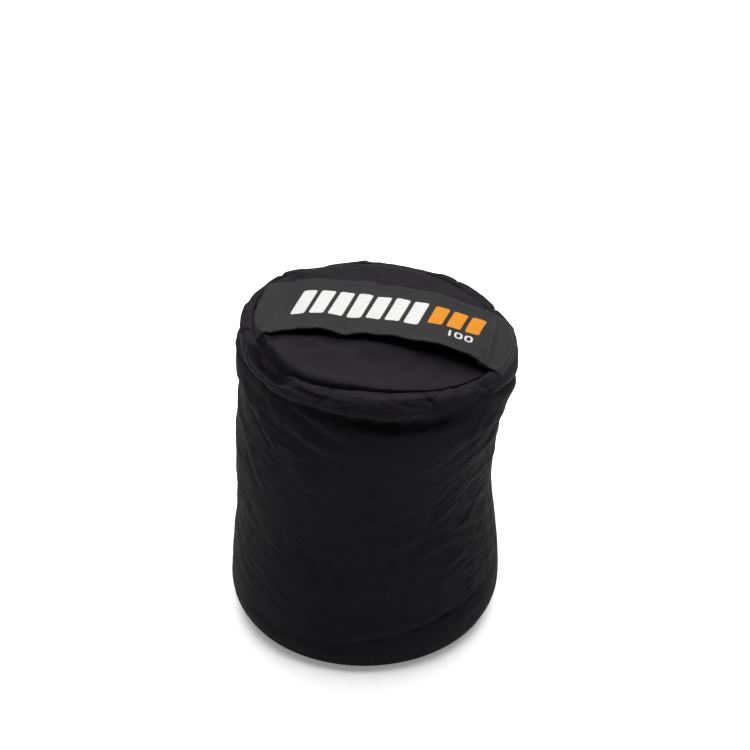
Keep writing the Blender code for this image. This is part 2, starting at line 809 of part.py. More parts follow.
def build():
    clear_scene()
    make_base()
    make_base_binding()
    make_wall()
    make_back_seam()
    make_rim()
    make_lid_half("lid_front", -1)
    make_lid_half("lid_rear", 1)
    make_lid_binding()
    make_tape("zip_tape_front", -1)
    make_tape("zip_tape_rear", 1)
    make_teeth("zip_teeth_front", -1, 0)
    make_teeth("zip_teeth_rear", 1, 0.5)
    make_end_tab("zip_end_left", -1, CHAIN_LEFT)
    make_end_tab("zip_end_right", 1, CHAIN_RIGHT)
    make_slider()
    make_pull()
    make_band()
    make_end_left()
    make_end_right()
    make_liner()
    make_tie()
    make_sand()


build()
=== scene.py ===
import math

import bmesh
import bpy
import numpy as np
from mathutils import Matrix, Vector, noise


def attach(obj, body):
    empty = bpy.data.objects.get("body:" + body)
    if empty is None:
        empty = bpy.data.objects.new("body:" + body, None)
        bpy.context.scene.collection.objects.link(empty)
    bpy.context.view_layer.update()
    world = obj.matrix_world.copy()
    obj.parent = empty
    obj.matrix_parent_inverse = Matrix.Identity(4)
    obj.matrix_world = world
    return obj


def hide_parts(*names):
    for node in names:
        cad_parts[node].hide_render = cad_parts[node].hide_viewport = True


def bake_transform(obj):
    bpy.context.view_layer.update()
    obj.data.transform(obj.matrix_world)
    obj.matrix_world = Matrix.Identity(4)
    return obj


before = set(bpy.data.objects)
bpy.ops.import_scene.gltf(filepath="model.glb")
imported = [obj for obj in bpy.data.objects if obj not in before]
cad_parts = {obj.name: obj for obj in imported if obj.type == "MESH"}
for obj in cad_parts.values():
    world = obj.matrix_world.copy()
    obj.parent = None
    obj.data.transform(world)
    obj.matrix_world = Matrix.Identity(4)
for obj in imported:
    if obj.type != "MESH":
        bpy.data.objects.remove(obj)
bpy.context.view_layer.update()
scene = bpy.context.scene
print("frame loaded:", len(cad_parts), "nodes")

# the camera's place, fitted to the picture
cameraView = {
    "azimuth": 9.5,
    "elevation": 35.0,
    "distance": 3.2,
    "target": (0, 0, 0.25),
    "lens": 98.15,
    "targetPixel": (364, 462),  # where the target stands in the picture
    "middlePixel": 375,  # of the picture, both ways
    "focalPixels": 2044.8,
}


def placeCamera():
    turn, rise = math.radians(cameraView["azimuth"]), math.radians(cameraView["elevation"])
    back = Vector((math.sin(turn) * math.cos(rise), -math.cos(turn) * math.cos(rise), math.sin(rise)))
    right = Vector((math.cos(turn), math.sin(turn), 0))
    up = back.cross(right)
    column, row = cameraView["targetPixel"]
    aside = (column - cameraView["middlePixel"]) / cameraView["focalPixels"]
    down = (row - cameraView["middlePixel"]) / cameraView["focalPixels"]
    aim = -back - right * aside + up * down
    lens = bpy.data.cameras.new("camera")
    lens.lens = cameraView["lens"]
    lens.sensor_width = 36
    camera = bpy.data.objects.new("camera", lens)
    camera.location = Vector(cameraView["target"]) + back * cameraView["distance"]
    camera.rotation_euler = aim.to_track_quat("-Z", "Y").to_euler()
    scene.collection.objects.link(camera)
    scene.camera = camera


placeCamera()
print("camera placed")

# the bag's outline and how it has settled, the same as the solids'
bag = {
    "bulgeRadius": 0.2125,
    "bulgeHeight": 0.050,
    "footRadius": 0.188,
    "waistRadius": 0.198,
    "waistHeight": 0.235,
    "shoulderRadius": 0.2015,
    "shoulderHeight": 0.410,
    "seamRadius": 0.187,
    "seamHeight": 0.495,
    "lidRise": 0.020,
    "leanAlong": 0.021,
    "leanAcross": 0.004,
    "leanStart": 0.150,
    "lidTilt": math.radians(5.5),
    "lobeShare": 0.008,
    "lobeTurn": math.radians(40),
    "gap": 0.0003,  # between pieces that lie on each other
    "girthRadius": 0.205,  # of the cloth map round the bag
}


def ease(share):
    share = np.clip(share, 0, 1)
    return share * share * (3 - 2 * share)


def mix(low, high, share):
    return low + (high - low) * share


def span(low, high, value):
    return ease((value - low) / (high - low))


def hill(value, middle, spread):
    # 1 at the middle, softly down to 0 on both sides
    return np.exp(-((value - middle) / spread) ** 2)


def wallRadius(height):
    # out at the bulge, in to the waist, out to the shoulder and in to the seam
    height = np.asarray(height, float)
    stops = [(bag[part + "Height"], bag[part + "Radius"]) for part in ("bulge", "waist", "shoulder", "seam")]
    radius = stops[0][1]
    for (low, lowRadius), (high, highRadius) in zip(stops, stops[1:]):
        radius = np.where(height > low, mix(lowRadius, highRadius, span(low, high, height)), radius)
    return radius


def leaned(x, y, z, share):
    # a point given from the middle of the lid's seam, tilted and moved by a share of the lean
    tilt = bag["lidTilt"] * share
    return np.stack([
        x * np.cos(tilt) + z * np.sin(tilt) + bag["leanAlong"] * share,
        y + bag["leanAcross"] * share,
        bag["seamHeight"] - x * np.sin(tilt) + z * np.cos(tilt),
    ], axis=-1)


def settled(radius, turn, height):
    # a point of the upright bag, where the filled bag has it
    share = span(bag["leanStart"], bag["shoulderHeight"], height)
    lobes = np.cos(3 * turn + bag["lobeTurn"])
    swell = 1 + bag["lobeShare"] * lobes * ease(height / bag["bulgeHeight"]) * (1 - share)
    return leaned(radius * np.cos(turn) * swell, radius * np.sin(turn) * swell,
                  height - bag["seamHeight"], share)


def lidPoint(x, y, z):
    x, y, z = np.broadcast_arrays(np.asarray(x, float), y, z)
    return leaned(x, y, z, np.ones_like(x))


def lidCurve():
    # the radius of the lid's dome
    return (bag["seamRadius"] ** 2 + bag["lidRise"] ** 2) / (2 * bag["lidRise"])


def lidHeight(radius):
    return bag["lidRise"] - lidCurve() + np.sqrt(lidCurve() ** 2 - np.asarray(radius, float) ** 2)


def softNoise(points, scale, seed=0.0):
    # smooth noise from -1 to 1 at every point
    shift = Vector((seed, seed * 1.7, -seed))
    return np.array([noise.noise(Vector(point) * scale + shift) for point in points.tolist()])


def wrapTurn(turn):
    return (turn + math.pi) % math.tau - math.pi


def foldRelief(turn, height, folds, reach=bag["girthRadius"]):
    # A fold is a ridge along (turn in degrees, height) points, with a broad back above it and a steep, hollowed
    # side under it. It is given as (rise, width, share of the rise by which it is hollowed, points)
    relief = np.zeros_like(turn)
    for rise, width, hollowed, points in folds:
        line = [(math.radians(t), h) for t, h in points]
        middle = line[len(line) // 2][0]
        along = wrapTurn(turn - middle) * reach
        line = [(wrapTurn(t - middle) * reach, h) for t, h in line]
        lengths = [math.dist(a, b) for a, b in zip(line, line[1:])]
        nearest = np.full_like(turn, 9.0)
        signed = np.full_like(turn, 9.0)
        run = np.zeros_like(turn)
        done = 0.0
        for (ax, ay), (bx, by), length in zip(line, line[1:], lengths):
            dx, dy = (bx - ax) / length, (by - ay) / length
            share = np.clip(((along - ax) * dx + (height - ay) * dy) / length, 0, 1)
            px, py = along - ax - share * length * dx, height - ay - share * length * dy
            distance = np.hypot(px, py)
            closer = distance < nearest
            signed = np.where(closer, distance * np.sign(dx * py - dy * px), signed)
            run = np.where(closer, (done + share * length) / sum(lengths), run)
            nearest = np.where(closer, distance, nearest)
            done += length
        signed = signed * (1 if line[-1][0] > line[0][0] else -1)
        ridge = np.where(signed > 0, hill(signed, 0, width), hill(signed, 0, 0.5 * width))
        hollow = hill(signed, -1.1 * width, 0.7 * width)
        taper = np.sin(math.pi * np.clip(run, 0.02, 0.98)) ** 0.7
        taper = taper * (0.80 + 0.34 * np.sin(run * 11 + width * 900) * np.cos(run * 23 + middle))
        reachFade = np.exp(-(nearest / (4 * width)) ** 4)
        relief += rise * taper * reachFade * (ridge - hollowed * hollow)
    return relief


def clothGrid(columns, rows, place, wide, high):
    # a sheet of cloth from a flat grid: place(u, v) says where each share of it lies
    bm = bmesh.new()
    bmesh.ops.create_grid(bm, x_segments=columns, y_segments=rows, size=0.5)
    weave = bm.loops.layers.uv.new("cloth")
    flat = bm.verts.layers.float_vector.new("flat")
    for vert in bm.verts:
        vert[flat] = (vert.co.x + 0.5, vert.co.y + 0.5, 0)
    for face in bm.faces:
        for loop in face.loops:
            loop[weave].uv = ((loop.vert.co.x + 0.5) * wide, (loop.vert.co.y + 0.5) * high)
    return placed(bm, lambda x, y, z: place(x + 0.5, y + 0.5))


def placed(bm, place):
    points = np.array([tuple(vert.co) for vert in bm.verts])
    points = place(points[:, 0], points[:, 1], points[:, 2])
    for vert, point in zip(bm.verts, points.tolist()):
        vert.co = point
    bmesh.ops.remove_doubles(bm, verts=bm.verts, dist=0.00001)
    bm.normal_update()
    return bm


def clothDisc(rings, segments, radius, place, closer=1.0):
    # a round sheet, with its thread directions kept straight across it and its rings closer at the edge
    bm = bmesh.new()
    bmesh.ops.create_circle(bm, cap_ends=False, segments=segments, radius=radius)
    rim = bm.edges[:]
    reach = [1 - (1 - ring / rings) ** closer for ring in range(rings + 1)]
    for ring in range(rings - 1, 0, -1):
        share = reach[ring] / reach[ring + 1]
        made = bmesh.ops.extrude_edge_only(bm, edges=rim)["geom"]
        rim = [item for item in made if isinstance(item, bmesh.types.BMEdge)
               and all(vert in made for vert in item.verts)]
        inner = [item for item in made if isinstance(item, bmesh.types.BMVert)]
        bmesh.ops.scale(bm, vec=(share, share, 1), verts=inner)
    bmesh.ops.contextual_create(bm, geom=rim)
    middle = [face for face in bm.faces if len(face.verts) > 4]
    bmesh.ops.poke(bm, faces=middle)
    bm.normal_update()
    if bm.faces[:][0].normal.z < 0:
        bmesh.ops.reverse_faces(bm, faces=bm.faces)
    weave = bm.loops.layers.uv.new("cloth")
    for face in bm.faces:
        for loop in face.loops:
            loop[weave].uv = (loop.vert.co.x, loop.vert.co.y)
    return bm if place is None else placed(bm, place)


def newPiece(name, bm, *materials, sharp=40):
    mesh = bpy.data.meshes.new(name)
    bm.to_mesh(mesh)
    bm.free()
    for material in materials:
        mesh.materials.append(material)
    mesh.shade_smooth()
    mesh.set_sharp_from_angle(angle=math.radians(sharp))
    piece = bpy.data.objects.new(name, mesh)
    scene.collection.objects.link(piece)
    return piece


def closeEnds(bm):
    bmesh.ops.holes_fill(bm, edges=[edge for edge in bm.edges if edge.is_boundary], sides=0)
    bmesh.ops.recalc_face_normals(bm, faces=bm.faces)


def turnOutward(bm):
    bm.normal_update()
    if sum(face.normal.xy.dot(face.calc_center_median().xy) for face in bm.faces) < 0:
        bmesh.ops.reverse_faces(bm, faces=bm.faces)


def turnUpward(piece):
    if sum(face.normal.z for face in piece.data.polygons) < 0:
        piece.data.flip_normals()


def applyModifiers(piece):
    graph = bpy.context.evaluated_depsgraph_get()
    mesh = bpy.data.meshes.new_from_object(piece.evaluated_get(graph), depsgraph=graph)
    piece.modifiers.clear()
    piece.data = mesh
    mesh.name = piece.name


clothSettling = {
    "frames": 16,
    "quality": 4,
    "mass": 0.3,
    "stiffness": 12.0,
    "shear": 6.0,
    "bending": 0.25,
    "damping": 8.0,
    "air": 1.0,
    "pull": 1.0,
}


def readPoints(items, label):
    values = np.zeros(len(items) * 3)
    items.foreach_get(label, values)
    return values.reshape(-1, 3)


def settleCloth(piece, values, hold):
    # The cloth has a little spare length, which falls into creases while it is held softly to its shape.
    # hold(u, v) is 1 where a point stays, and no point moves further than the cap
    flat = readPoints(piece.data.attributes["flat"].data, "vector")
    held = piece.vertex_groups.new(name="held")
    for index, weight in enumerate(hold(flat[:, 0], flat[:, 1]).tolist()):
        held.add([index], weight, "REPLACE")
    cloth = piece.modifiers.new("cloth", "CLOTH")
    settings = cloth.settings
    settings.quality = values["quality"]
    settings.mass = values["mass"]
    settings.tension_stiffness = settings.compression_stiffness = values["stiffness"]
    settings.shear_stiffness = values["shear"]
    settings.bending_stiffness = values["bending"]
    settings.tension_damping = settings.compression_damping = settings.shear_damping = values["damping"]
    settings.air_damping = values["air"]
    settings.shrink_min = -values["spare"]
    settings.vertex_group_mass = "held"
    settings.pin_stiffness = values["pull"]
    settings.effector_weights.gravity = 0
    cloth.collision_settings.use_self_collision = False
    cloth.collision_settings.use_collision = False
    cloth.point_cache.frame_end = values["frames"]
    for step in range(1, values["frames"] + 1):
        scene.frame_set(step)
    started = readPoints(piece.data.vertices, "co")
    applyModifiers(piece)
    scene.frame_set(1)
    moved = readPoints(piece.data.vertices, "co") - started
    far = np.linalg.norm(moved, axis=1)
    print(piece.name, "moved at most", round(float(far.max()), 4), "and", round(float(far.mean()), 5), "on average")
    moved *= (values["cap"] * np.tanh(far / values["cap"]) / np.maximum(far, 1e-9))[:, None]
    piece.data.vertices.foreach_set("co", (started + moved).reshape(-1))
    piece.data.update()


def thicken(piece, thickness):
    # the wall goes in from the outer side
    shell = piece.modifiers.new("thickness", "SOLIDIFY")
    shell.thickness = thickness
    shell.offset = -1.0
    applyModifiers(piece)


def addStitches(piece, rows, values, index=1):
    # rows are lists of (place, direction, normal). Every stitch is a small flattened bead of thread
    whole = bmesh.new()
    whole.from_mesh(piece.data)
    for row in rows:
        bm = bmesh.new()
        for place, direction, normal in row:
            along = Vector(direction).normalized()
            up = Vector(normal).normalized()
            turnTo = Matrix((along, up.cross(along).normalized(), up)).transposed().to_4x4()
            size = Matrix.Diagonal((values["length"] / 2, values["radius"], values["radius"] * 0.8, 1))
            bmesh.ops.create_icosphere(bm, subdivisions=1, radius=1,
                                       matrix=Matrix.Translation(Vector(place)) @ turnTo @ size)
        for face in bm.faces:
            face.material_index = index
            face.smooth = True
        beads = bpy.data.meshes.new("beads")
        bm.to_mesh(beads)
        bm.free()
        whole.from_mesh(beads)
        bpy.data.meshes.remove(beads)
    whole.to_mesh(piece.data)
    whole.free()


def stitchRows(place, offsets, start, end, length, values, asideShare=1.0):
    # a row of stitches at each offset, along place(share, offset), which gives points as rows of an array
    count = max(int(length / values["pitch"]), 1)
    shares = mix(start, end, (np.arange(count) + 0.5) / count)
    step = 0.4 * (end - start) / count
    rows = []
    for offset in offsets:
        across = np.full_like(shares, offset)
        points, beside = place(shares, across), place(shares, across + 0.002 * asideShare)
        ahead, behind = place(shares + step, across), place(shares - step, across)
        row = []
        for point, a, b, s in zip(points, ahead, behind, beside):
            direction = Vector(a - b)
            row.append((point, direction, direction.cross(Vector(s - point))))
        rows.append(row)
    return rows


stitch = {"pitch": 0.0034, "length": 0.0025, "radius": 0.00042, "lift": 0.0001}
fineStitch = {"pitch": 0.0030, "length": 0.0022, "radius": 0.00026, "lift": 0.00005}
footStitch = {"pitch": 0.0060, "length": 0.0044, "radius": 0.00045, "lift": 0.0001}


def dress(piece, body, slot, *nodes):
    # hides the nodes that the piece stands for and attaches it to the body it moves with; the slot, what it is made
    # of, is not used
    if nodes:
        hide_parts(*nodes)
    if body:
        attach(piece, body)
    return piece


class Signal:
    # a socket of a shader's node tree, to reckon with as with a number
    def __init__(self, socket):
        self.socket = socket
        self.tree = socket.id_data

    def calc(self, operation, *values):
        inputs = dict(enumerate((self, *values)))
        return makeNode(self.tree, "Math", inputs, operation=operation)

    def __add__(self, other):
        return self.calc("ADD", other)

    def __sub__(self, other):
        return self.calc("SUBTRACT", other)

    def __rsub__(self, other):
        return self * -1.0 + other

    def __mul__(self, other):
        return self.calc("MULTIPLY", other)

    def __truediv__(self, other):
        return self.calc("DIVIDE", other)

    def __abs__(self):
        return self.calc("ABSOLUTE")


def feed(value, socket):
    if isinstance(value, Signal):
        value.tree.links.new(value.socket, socket)
    else:
        socket.default_value = value


def makeNode(tree, kind, inputs, output=0, **settings):
    node = tree.nodes.new("ShaderNode" + kind)
    for label, value in settings.items():
        setattr(node, label, value)
    for label, value in inputs.items():
        feed(value, node.inputs[label])
    return Signal(node.outputs[output])


def mixed(factor, low, high):
    return makeNode(factor.tree, "Mix", {"Factor": factor, 6: low, 7: high}, 2, data_type="RGBA")


def stretched(value, low, high, newLow=0.0, newHigh=1.0):
    limits = {"From Min": low, "From Max": high, "To Min": newLow, "To Max": newHigh}
    return makeNode(value.tree, "MapRange", dict(limits, Value=value))


def noiseAt(vector, scale, detail=4.0, roughness=0.55):
    inputs = {"Vector": vector, "Scale": scale, "Detail": detail, "Roughness": roughness}
    return makeNode(vector.tree, "TexNoise", inputs, "Fac")


def bumped(height, distance, strength, normal=None):
    inputs = {"Distance": distance, "Strength": strength, "Height": height}
    if normal:
        inputs["Normal"] = normal
    return makeNode(height.tree, "Bump", inputs, "Normal")


def split(vector):
    node = makeNode(vector.tree, "SeparateXYZ", {0: vector}).socket.node
    return [Signal(output) for output in node.outputs]


def newGroup(name, **numbers):
    # every group takes a vector and some numbers
    group = bpy.data.node_groups.new(name, "ShaderNodeTree")
    group.interface.new_socket("Vector", in_out="INPUT", socket_type="NodeSocketVector")
    for label, value in numbers.items():
        group.interface.new_socket(label, in_out="INPUT", socket_type="NodeSocketFloat").default_value = value
    given = group.nodes.new("NodeGroupInput").outputs
    return [Signal(given[label]) for label in ("Vector", *numbers)]


def endGroup(**results):
    tree = [*results.values()][0].tree
    for label in results:
        tree.interface.new_socket(label, in_out="OUTPUT", socket_type="NodeSocketFloat")
    end = tree.nodes.new("NodeGroupOutput")
    for label, value in results.items():
        feed(value, end.inputs[label])
    return tree


def makeWeaveGroup():
    # threads that pass over and under each other. The vector is in metres on the cloth
    vector, threads = newGroup("plainWeave", Threads=1800.0)
    across, along, _ = split(vector)
    u, v = across * threads, along * threads
    parity = abs(u.calc("FLOOR") + v.calc("FLOOR")).calc("MODULO", 2.0)
    crossU = (u.calc("FRACT") * math.pi).calc("SINE")
    crossV = (v.calc("FRACT") * math.pi).calc("SINE")
    warp, weft = crossU * (crossV * 0.55 + 0.45), crossV * (crossU * 0.55 + 0.45)
    return endGroup(Height=weft * parity + warp * (1.0 - parity), Warp=parity)


def makeToneGroup():
    # cloth is never one even colour: broad fading, and dust and chalk that lie on it in patches
    vector, scale, fading = newGroup("clothTone", Scale=7.0, Fading=0.15)
    broad = noiseAt(vector, scale, 5.0, 0.6)
    patches = noiseAt(vector, scale * 2.3, 8.0, 0.7)
    grains = noiseAt(vector, 900.0, 2.0, 0.5)
    return endGroup(Tone=stretched(broad, 0.3, 0.7, 1.0 - fading, fading + 1.0),
                    Dust=stretched(patches, 0.5, 0.75) * stretched(grains, 0.45, 0.7))


def makeCrumpleGroup():
    # the small crumples in a coated cloth, finer than the mesh
    vector, scale = newGroup("crumple", Scale=22.0)
    ridge = abs(noiseAt(vector, scale, 3.0, 0.5) - 0.5)
    return endGroup(Height=noiseAt(vector, scale * 3.1, 2.0, 0.5) * 0.3 + ridge * -1.4)


def makeCreaseGroup():
    # long thin creases that climb away from the front on both sides, from a cloth map in metres
    vector, front, climb, fineness = newGroup("creaseLines", Front=0.644, Climb=0.34, Fineness=25.0)
    across, high, _ = split(vector)
    aside = abs(across - front)
    level = high - aside * climb + noiseAt(vector, 9.0, 2.0, 0.5) * 0.05
    streaks = makeNode(vector.tree, "CombineXYZ", {0: across * (fineness * 0.16), 1: level * fineness})
    ridge = stretched(abs(noiseAt(streaks, 1.0, 2.0, 0.45) - 0.5), 0.0, 0.085, 1.0, 0.0)
    sides = stretched(aside, 0.0, 0.20, 0.15, 1.0) * stretched(aside, 0.42, 0.60, 1.0, 0.6)
    tall = stretched(high, 0.05, 0.14) * stretched(high, 0.38, 0.47, 1.0, 0.3)
    patches = stretched(noiseAt(vector, 6.0, 2.0, 0.5), 0.34, 0.60)
    return endGroup(Height=ridge * (sides * tall * patches))


def makeBarGroup():
    # a row of upright, slightly slanted bars with rounded corners, as a mask
    vector, start, pitch, count, middle, halfWidth, halfHeight, slant, radius = newGroup(
        "barRow", Start=0.0, Pitch=0.03, Count=6.0, Middle=0.0, HalfWidth=0.01, HalfHeight=0.03, Slant=0.12,
        Radius=0.003)
    along, across, _ = split(vector)
    up = across - middle
    cell = (along - start - up * slant) / pitch
    inside = cell.calc("GREATER_THAN", 0.0) * cell.calc("LESS_THAN", count)
    aside = abs((cell.calc("FRACT") - 0.5) * pitch)
    pastX = (aside - (halfWidth - radius)).calc("MAXIMUM", 0.0)
    pastY = (abs(up) - (halfHeight - radius)).calc("MAXIMUM", 0.0)
    distance = (pastX * pastX + pastY * pastY).calc("SQRT") - radius
    return endGroup(Mask=stretched(distance, 0.0003, -0.0003) * inside)


def makeScuffGroup():
    # rubbed spots and fine scratches for metal and moulded parts
    vector, scale = newGroup("scuffs", Scale=300.0)
    drawn = makeNode(vector.tree, "Mapping", {"Vector": vector, "Scale": (1, 7, 1), "Rotation": (0, 0, 0.6)})
    lines = noiseAt(drawn, scale, 3.0, 0.6)
    spots = noiseAt(vector, scale * 0.4, 4.0, 0.6)
    return endGroup(Scuff=stretched(lines, 0.52, 0.7) * stretched(spots, 0.4, 0.65), Height=lines)


groups = {
    "weave": makeWeaveGroup(),
    "tone": makeToneGroup(),
    "crumple": makeCrumpleGroup(),
    "creases": makeCreaseGroup(),
    "bars": makeBarGroup(),
    "scuffs": makeScuffGroup(),
}


def useGroup(name, vector, **values):
    node = vector.tree.nodes.new("ShaderNodeGroup")
    node.node_tree = groups[name]
    for label, value in dict(values, Vector=vector).items():
        feed(value, node.inputs[label])
    return {output.name: Signal(output) for output in node.outputs}


def newMaterial(name):
    # a material, its object coordinates and its shader's inputs
    material = bpy.data.materials.new(name)
    material.use_nodes = True
    nodes = material.node_tree.nodes
    place = Signal(nodes.new("ShaderNodeTexCoord").outputs["Object"])
    return material, place, nodes["Principled BSDF"].inputs


def feedAll(inputs, values):
    for label, value in values.items():
        feed(value, inputs[label])


def makeCloth(name, values):
    material, place, inputs = newMaterial(name)
    onCloth = makeNode(place.tree, "UVMap", {}, "UV", uv_map="cloth")
    tone = useGroup("tone", place, Scale=values["patchScale"], Fading=values["fading"])
    weave = useGroup("weave", onCloth, Threads=values["threads"])
    crumple = useGroup("crumple", place, Scale=values["crumpleScale"])
    dark = tuple(channel * values["weftShare"] for channel in values["colour"])
    threads = mixed(weave["Warp"], (*values["colour"], 1), (*dark, 1))
    faded = makeNode(place.tree, "VectorMath", {0: threads, "Scale": tone["Tone"]}, operation="SCALE")
    base = mixed(tone["Dust"] * values["dust"], faded, (*values["dustColour"], 1))
    rough = stretched(tone["Tone"], 0.8, 1.2, values["roughness"] - 0.05, values["roughness"] + 0.05)
    if "print" in values:
        base, rough = printOn(onCloth, place, base, rough, values["print"])
    normal = bumped(crumple["Height"], values["crumpleDepth"], 0.6)
    if "creaseDepth" in values:
        normal = bumped(useGroup("creases", onCloth)["Height"], values["creaseDepth"], 0.8, normal)
    feedAll(inputs, {
        "Base Color": base,
        "Roughness": rough,
        "Normal": bumped(weave["Height"], values["threadDepth"], 0.5, normal),
        "Specular IOR Level": values["specular"],
        "Sheen Weight": values["sheen"],
        "Sheen Roughness": 0.45,
        "Sheen Tint": (*values["sheenTint"], 1),
    })
    return material


nylonValues = {
    "colour": (0.0076, 0.0068, 0.0081),
    "weftShare": 0.82,  # of the warp's colour
    "dustColour": (0.022, 0.019, 0.0175),
    "dust": 0.20,
    "fading": 0.14,
    "patchScale": 6.0,
    "threads": 1500.0,
    "threadDepth": 0.00016,
    "crumpleScale": 24.0,
    "crumpleDepth": 0.0019,
    "roughness": 0.78,
    "specular": 0.045,
    "sheen": 0.003,
    "sheenTint": (0.80, 0.74, 0.84),
}

bandClothValues = dict(nylonValues, colour=(0.0170, 0.0170, 0.0171), threads=1100.0, threadDepth=0.00024,
                       crumpleDepth=0.0007, roughness=0.82, sheenTint=(0.82, 0.80, 0.82))

bar = {"Pitch": 0.0284, "HalfWidth": 0.0108, "Slant": 0.14, "Radius": 0.004}
numeral = {"HalfHeight": 0.0085, "Middle": -0.0345, "Slant": 0.0}
nought = dict(numeral, Start=0.1150, Pitch=0.0155, Count=2.0)
printValues = {
    "white": (0.35, 0.35, 0.346),
    "orange": (0.35, 0.130, 0.009),
    "whiteBars": dict(bar, Start=-0.1305, Count=7.0, Middle=0.006, HalfHeight=0.034),
    "orangeBars": dict(bar, Start=0.0735, Count=3.0, Middle=0.010, HalfHeight=0.027),
    # the weight in plain numerals: a one is a bar, and a nought is a bar less a smaller one
    "one": dict(numeral, Start=0.1055, Pitch=0.008, Count=1.0, HalfWidth=0.0016, Radius=0.0004),
    "noughtOuter": dict(nought, HalfWidth=0.0062, Radius=0.0055),
    "noughtInner": dict(nought, HalfWidth=0.0031, HalfHeight=0.0085 - 0.0032, Radius=0.0028),
    "smoother": 0.12,
}


def printOn(onCloth, place, base, rough, values):
    # a plain row of printed bars over the band, and the weight
    rows = [useGroup("bars", onCloth, **values[name])["Mask"]
            for name in ("whiteBars", "orangeBars", "one", "noughtOuter", "noughtInner")]
    cracks = stretched(noiseAt(place, 420.0, 3.0, 0.6), 0.36, 0.46, 0.72, 1.0)
    white = rows[0].calc("MAXIMUM", rows[2].calc("MAXIMUM", rows[3] - rows[4]))
    base = mixed(white * cracks, base, (*values["white"], 1))
    base = mixed(rows[1] * cracks, base, (*values["orange"], 1))
    return base, rough - white.calc("MAXIMUM", rows[1]) * values["smoother"]


nylon = makeCloth("nylonCloth", nylonValues)
wallCloth = makeCloth("wallCloth", dict(nylonValues, creaseDepth=0.0042))
plainBandCloth = makeCloth("plainBandCloth", bandClothValues)
printedBandCloth = makeCloth("printedBandCloth", dict(bandClothValues, print=printValues))
webbing = makeCloth("bindingTape", dict(
    nylonValues, colour=(0.0040, 0.0040, 0.0042), threads=700.0, threadDepth=0.0004, crumpleDepth=0.0003,
    roughness=0.72, sheen=0.02))


def makeThread():
    material, place, inputs = newMaterial("sewingThread")
    twist = noiseAt(place, 1500.0, 2.0, 0.5)
    feedAll(inputs, {
        "Base Color": mixed(twist, (0.010, 0.0095, 0.010, 1), (0.026, 0.025, 0.0255, 1)),
        "Roughness": 0.55,
        "Normal": bumped(twist, 0.0002, 0.5),
    })
    return material


def makeHard(name, values):
    # the slider's metal and the teeth's moulding, both rubbed and scratched
    material, place, inputs = newMaterial(name)
    scuffs = useGroup("scuffs", place, Scale=values["scale"])
    feedAll(inputs, {
        "Base Color": mixed(scuffs["Scuff"], (*values["colour"], 1), (*values["scuffed"], 1)),
        "Roughness": stretched(scuffs["Height"], 0.3, 0.7, *values["roughness"]),
        "Metallic": values["metallic"],
        "Normal": bumped(scuffs["Height"], *values["scratches"]),
    })
    return material


def makeFilm():
    material, place, inputs = newMaterial("linerFilm")
    cloudy = noiseAt(place, 60.0, 4.0, 0.6)
    feedAll(inputs, {
        "Base Color": mixed(cloudy, (0.50, 0.53, 0.56, 1), (0.74, 0.76, 0.77, 1)),
        "Roughness": stretched(cloudy, 0.3, 0.7, 0.22, 0.42),
        "Normal": bumped(useGroup("crumple", place, Scale=30.0)["Height"], 0.003, 0.7),
    })
    return material


def makeSand():
    material, place, inputs = newMaterial("drySand")
    grain = makeNode(place.tree, "TexVoronoi", {"Scale": 900.0, "Vector": place}, "Color")
    hue = split(grain)[0]
    tint = mixed(hue, (0.30, 0.21, 0.12, 1), (0.68, 0.56, 0.38, 1))
    damp = stretched(noiseAt(place, 12.0), 0.35, 0.7, 0.0, 0.4)
    feedAll(inputs, {
        "Base Color": mixed(damp, tint, (0.22, 0.15, 0.08, 1)),
        "Roughness": stretched(hue, 0.0, 1.0, 0.75, 0.95),
        "Normal": bumped(Signal(grain.socket.node.outputs["Distance"]), 0.0006, 0.6),
    })
    return material


thread = makeThread()
sliderMetal = makeHard("sliderMetal", {
    "scale": 260.0,
    "colour": (0.045, 0.045, 0.048),
    "scuffed": (0.38, 0.37, 0.36),
    "roughness": (0.28, 0.48),
    "metallic": 0.9,
    "scratches": (0.00008, 0.4),  # their depth and how strongly they show
})
mouldedTeeth = makeHard("mouldedTeeth", {
    "scale": 700.0,
    "colour": (0.012, 0.012, 0.012),
    "scuffed": (0.05, 0.05, 0.05),
    "roughness": (0.34, 0.50),
    "metallic": 0.0,
    "scratches": (0.00004, 0.3),
})
linerFilm, drySand = makeFilm(), makeSand()
print("materials made")

wall = {
    "columns": 320,
    "rows": 148,
    "thickness": 0.0013,
    "top": 0.4935,
    "flare": 0.0015,  # of the top under the roll's start, where the seam has no groove
    "footShare": 0.09,  # of the rows that go round the bottom corner
    "slack": 0.0016,
    "ringsAt": (0.24, 0.13),  # the middle and the spread, in height, of the slack's rings
    "drapesAt": (0.43, 0.05),
    "puffAt": (-0.014, 0.018),  # of the puffed shoulder, from the roll's lip
    "lowPuffAt": (0.422, 0.030),
    "footQuiet": 0.03,  # the folds fade out below this height
    "topQuiet": (0.468, 0.492),
    "flareAt": (0.484, 0.4925),
    "flareGroove": 0.004,  # no flare where the seam's groove is deeper
    "tuck": 0.0015,  # of the top under the seam
    "tuckFrom": 0.462,
    "holdFoot": (0.004, 0.034),
    "holdTop": (0.440, 0.462),
    "holdSeam": (math.radians(6), math.radians(16)),
    "clothHeight": 0.53,
    "stitchHeights": (0.0030, 0.0068),
    "seamTurn": math.radians(94.5),
    "softHold": 0.06,
    "settle": dict(clothSettling, spare=0.012, cap=0.0018),
}

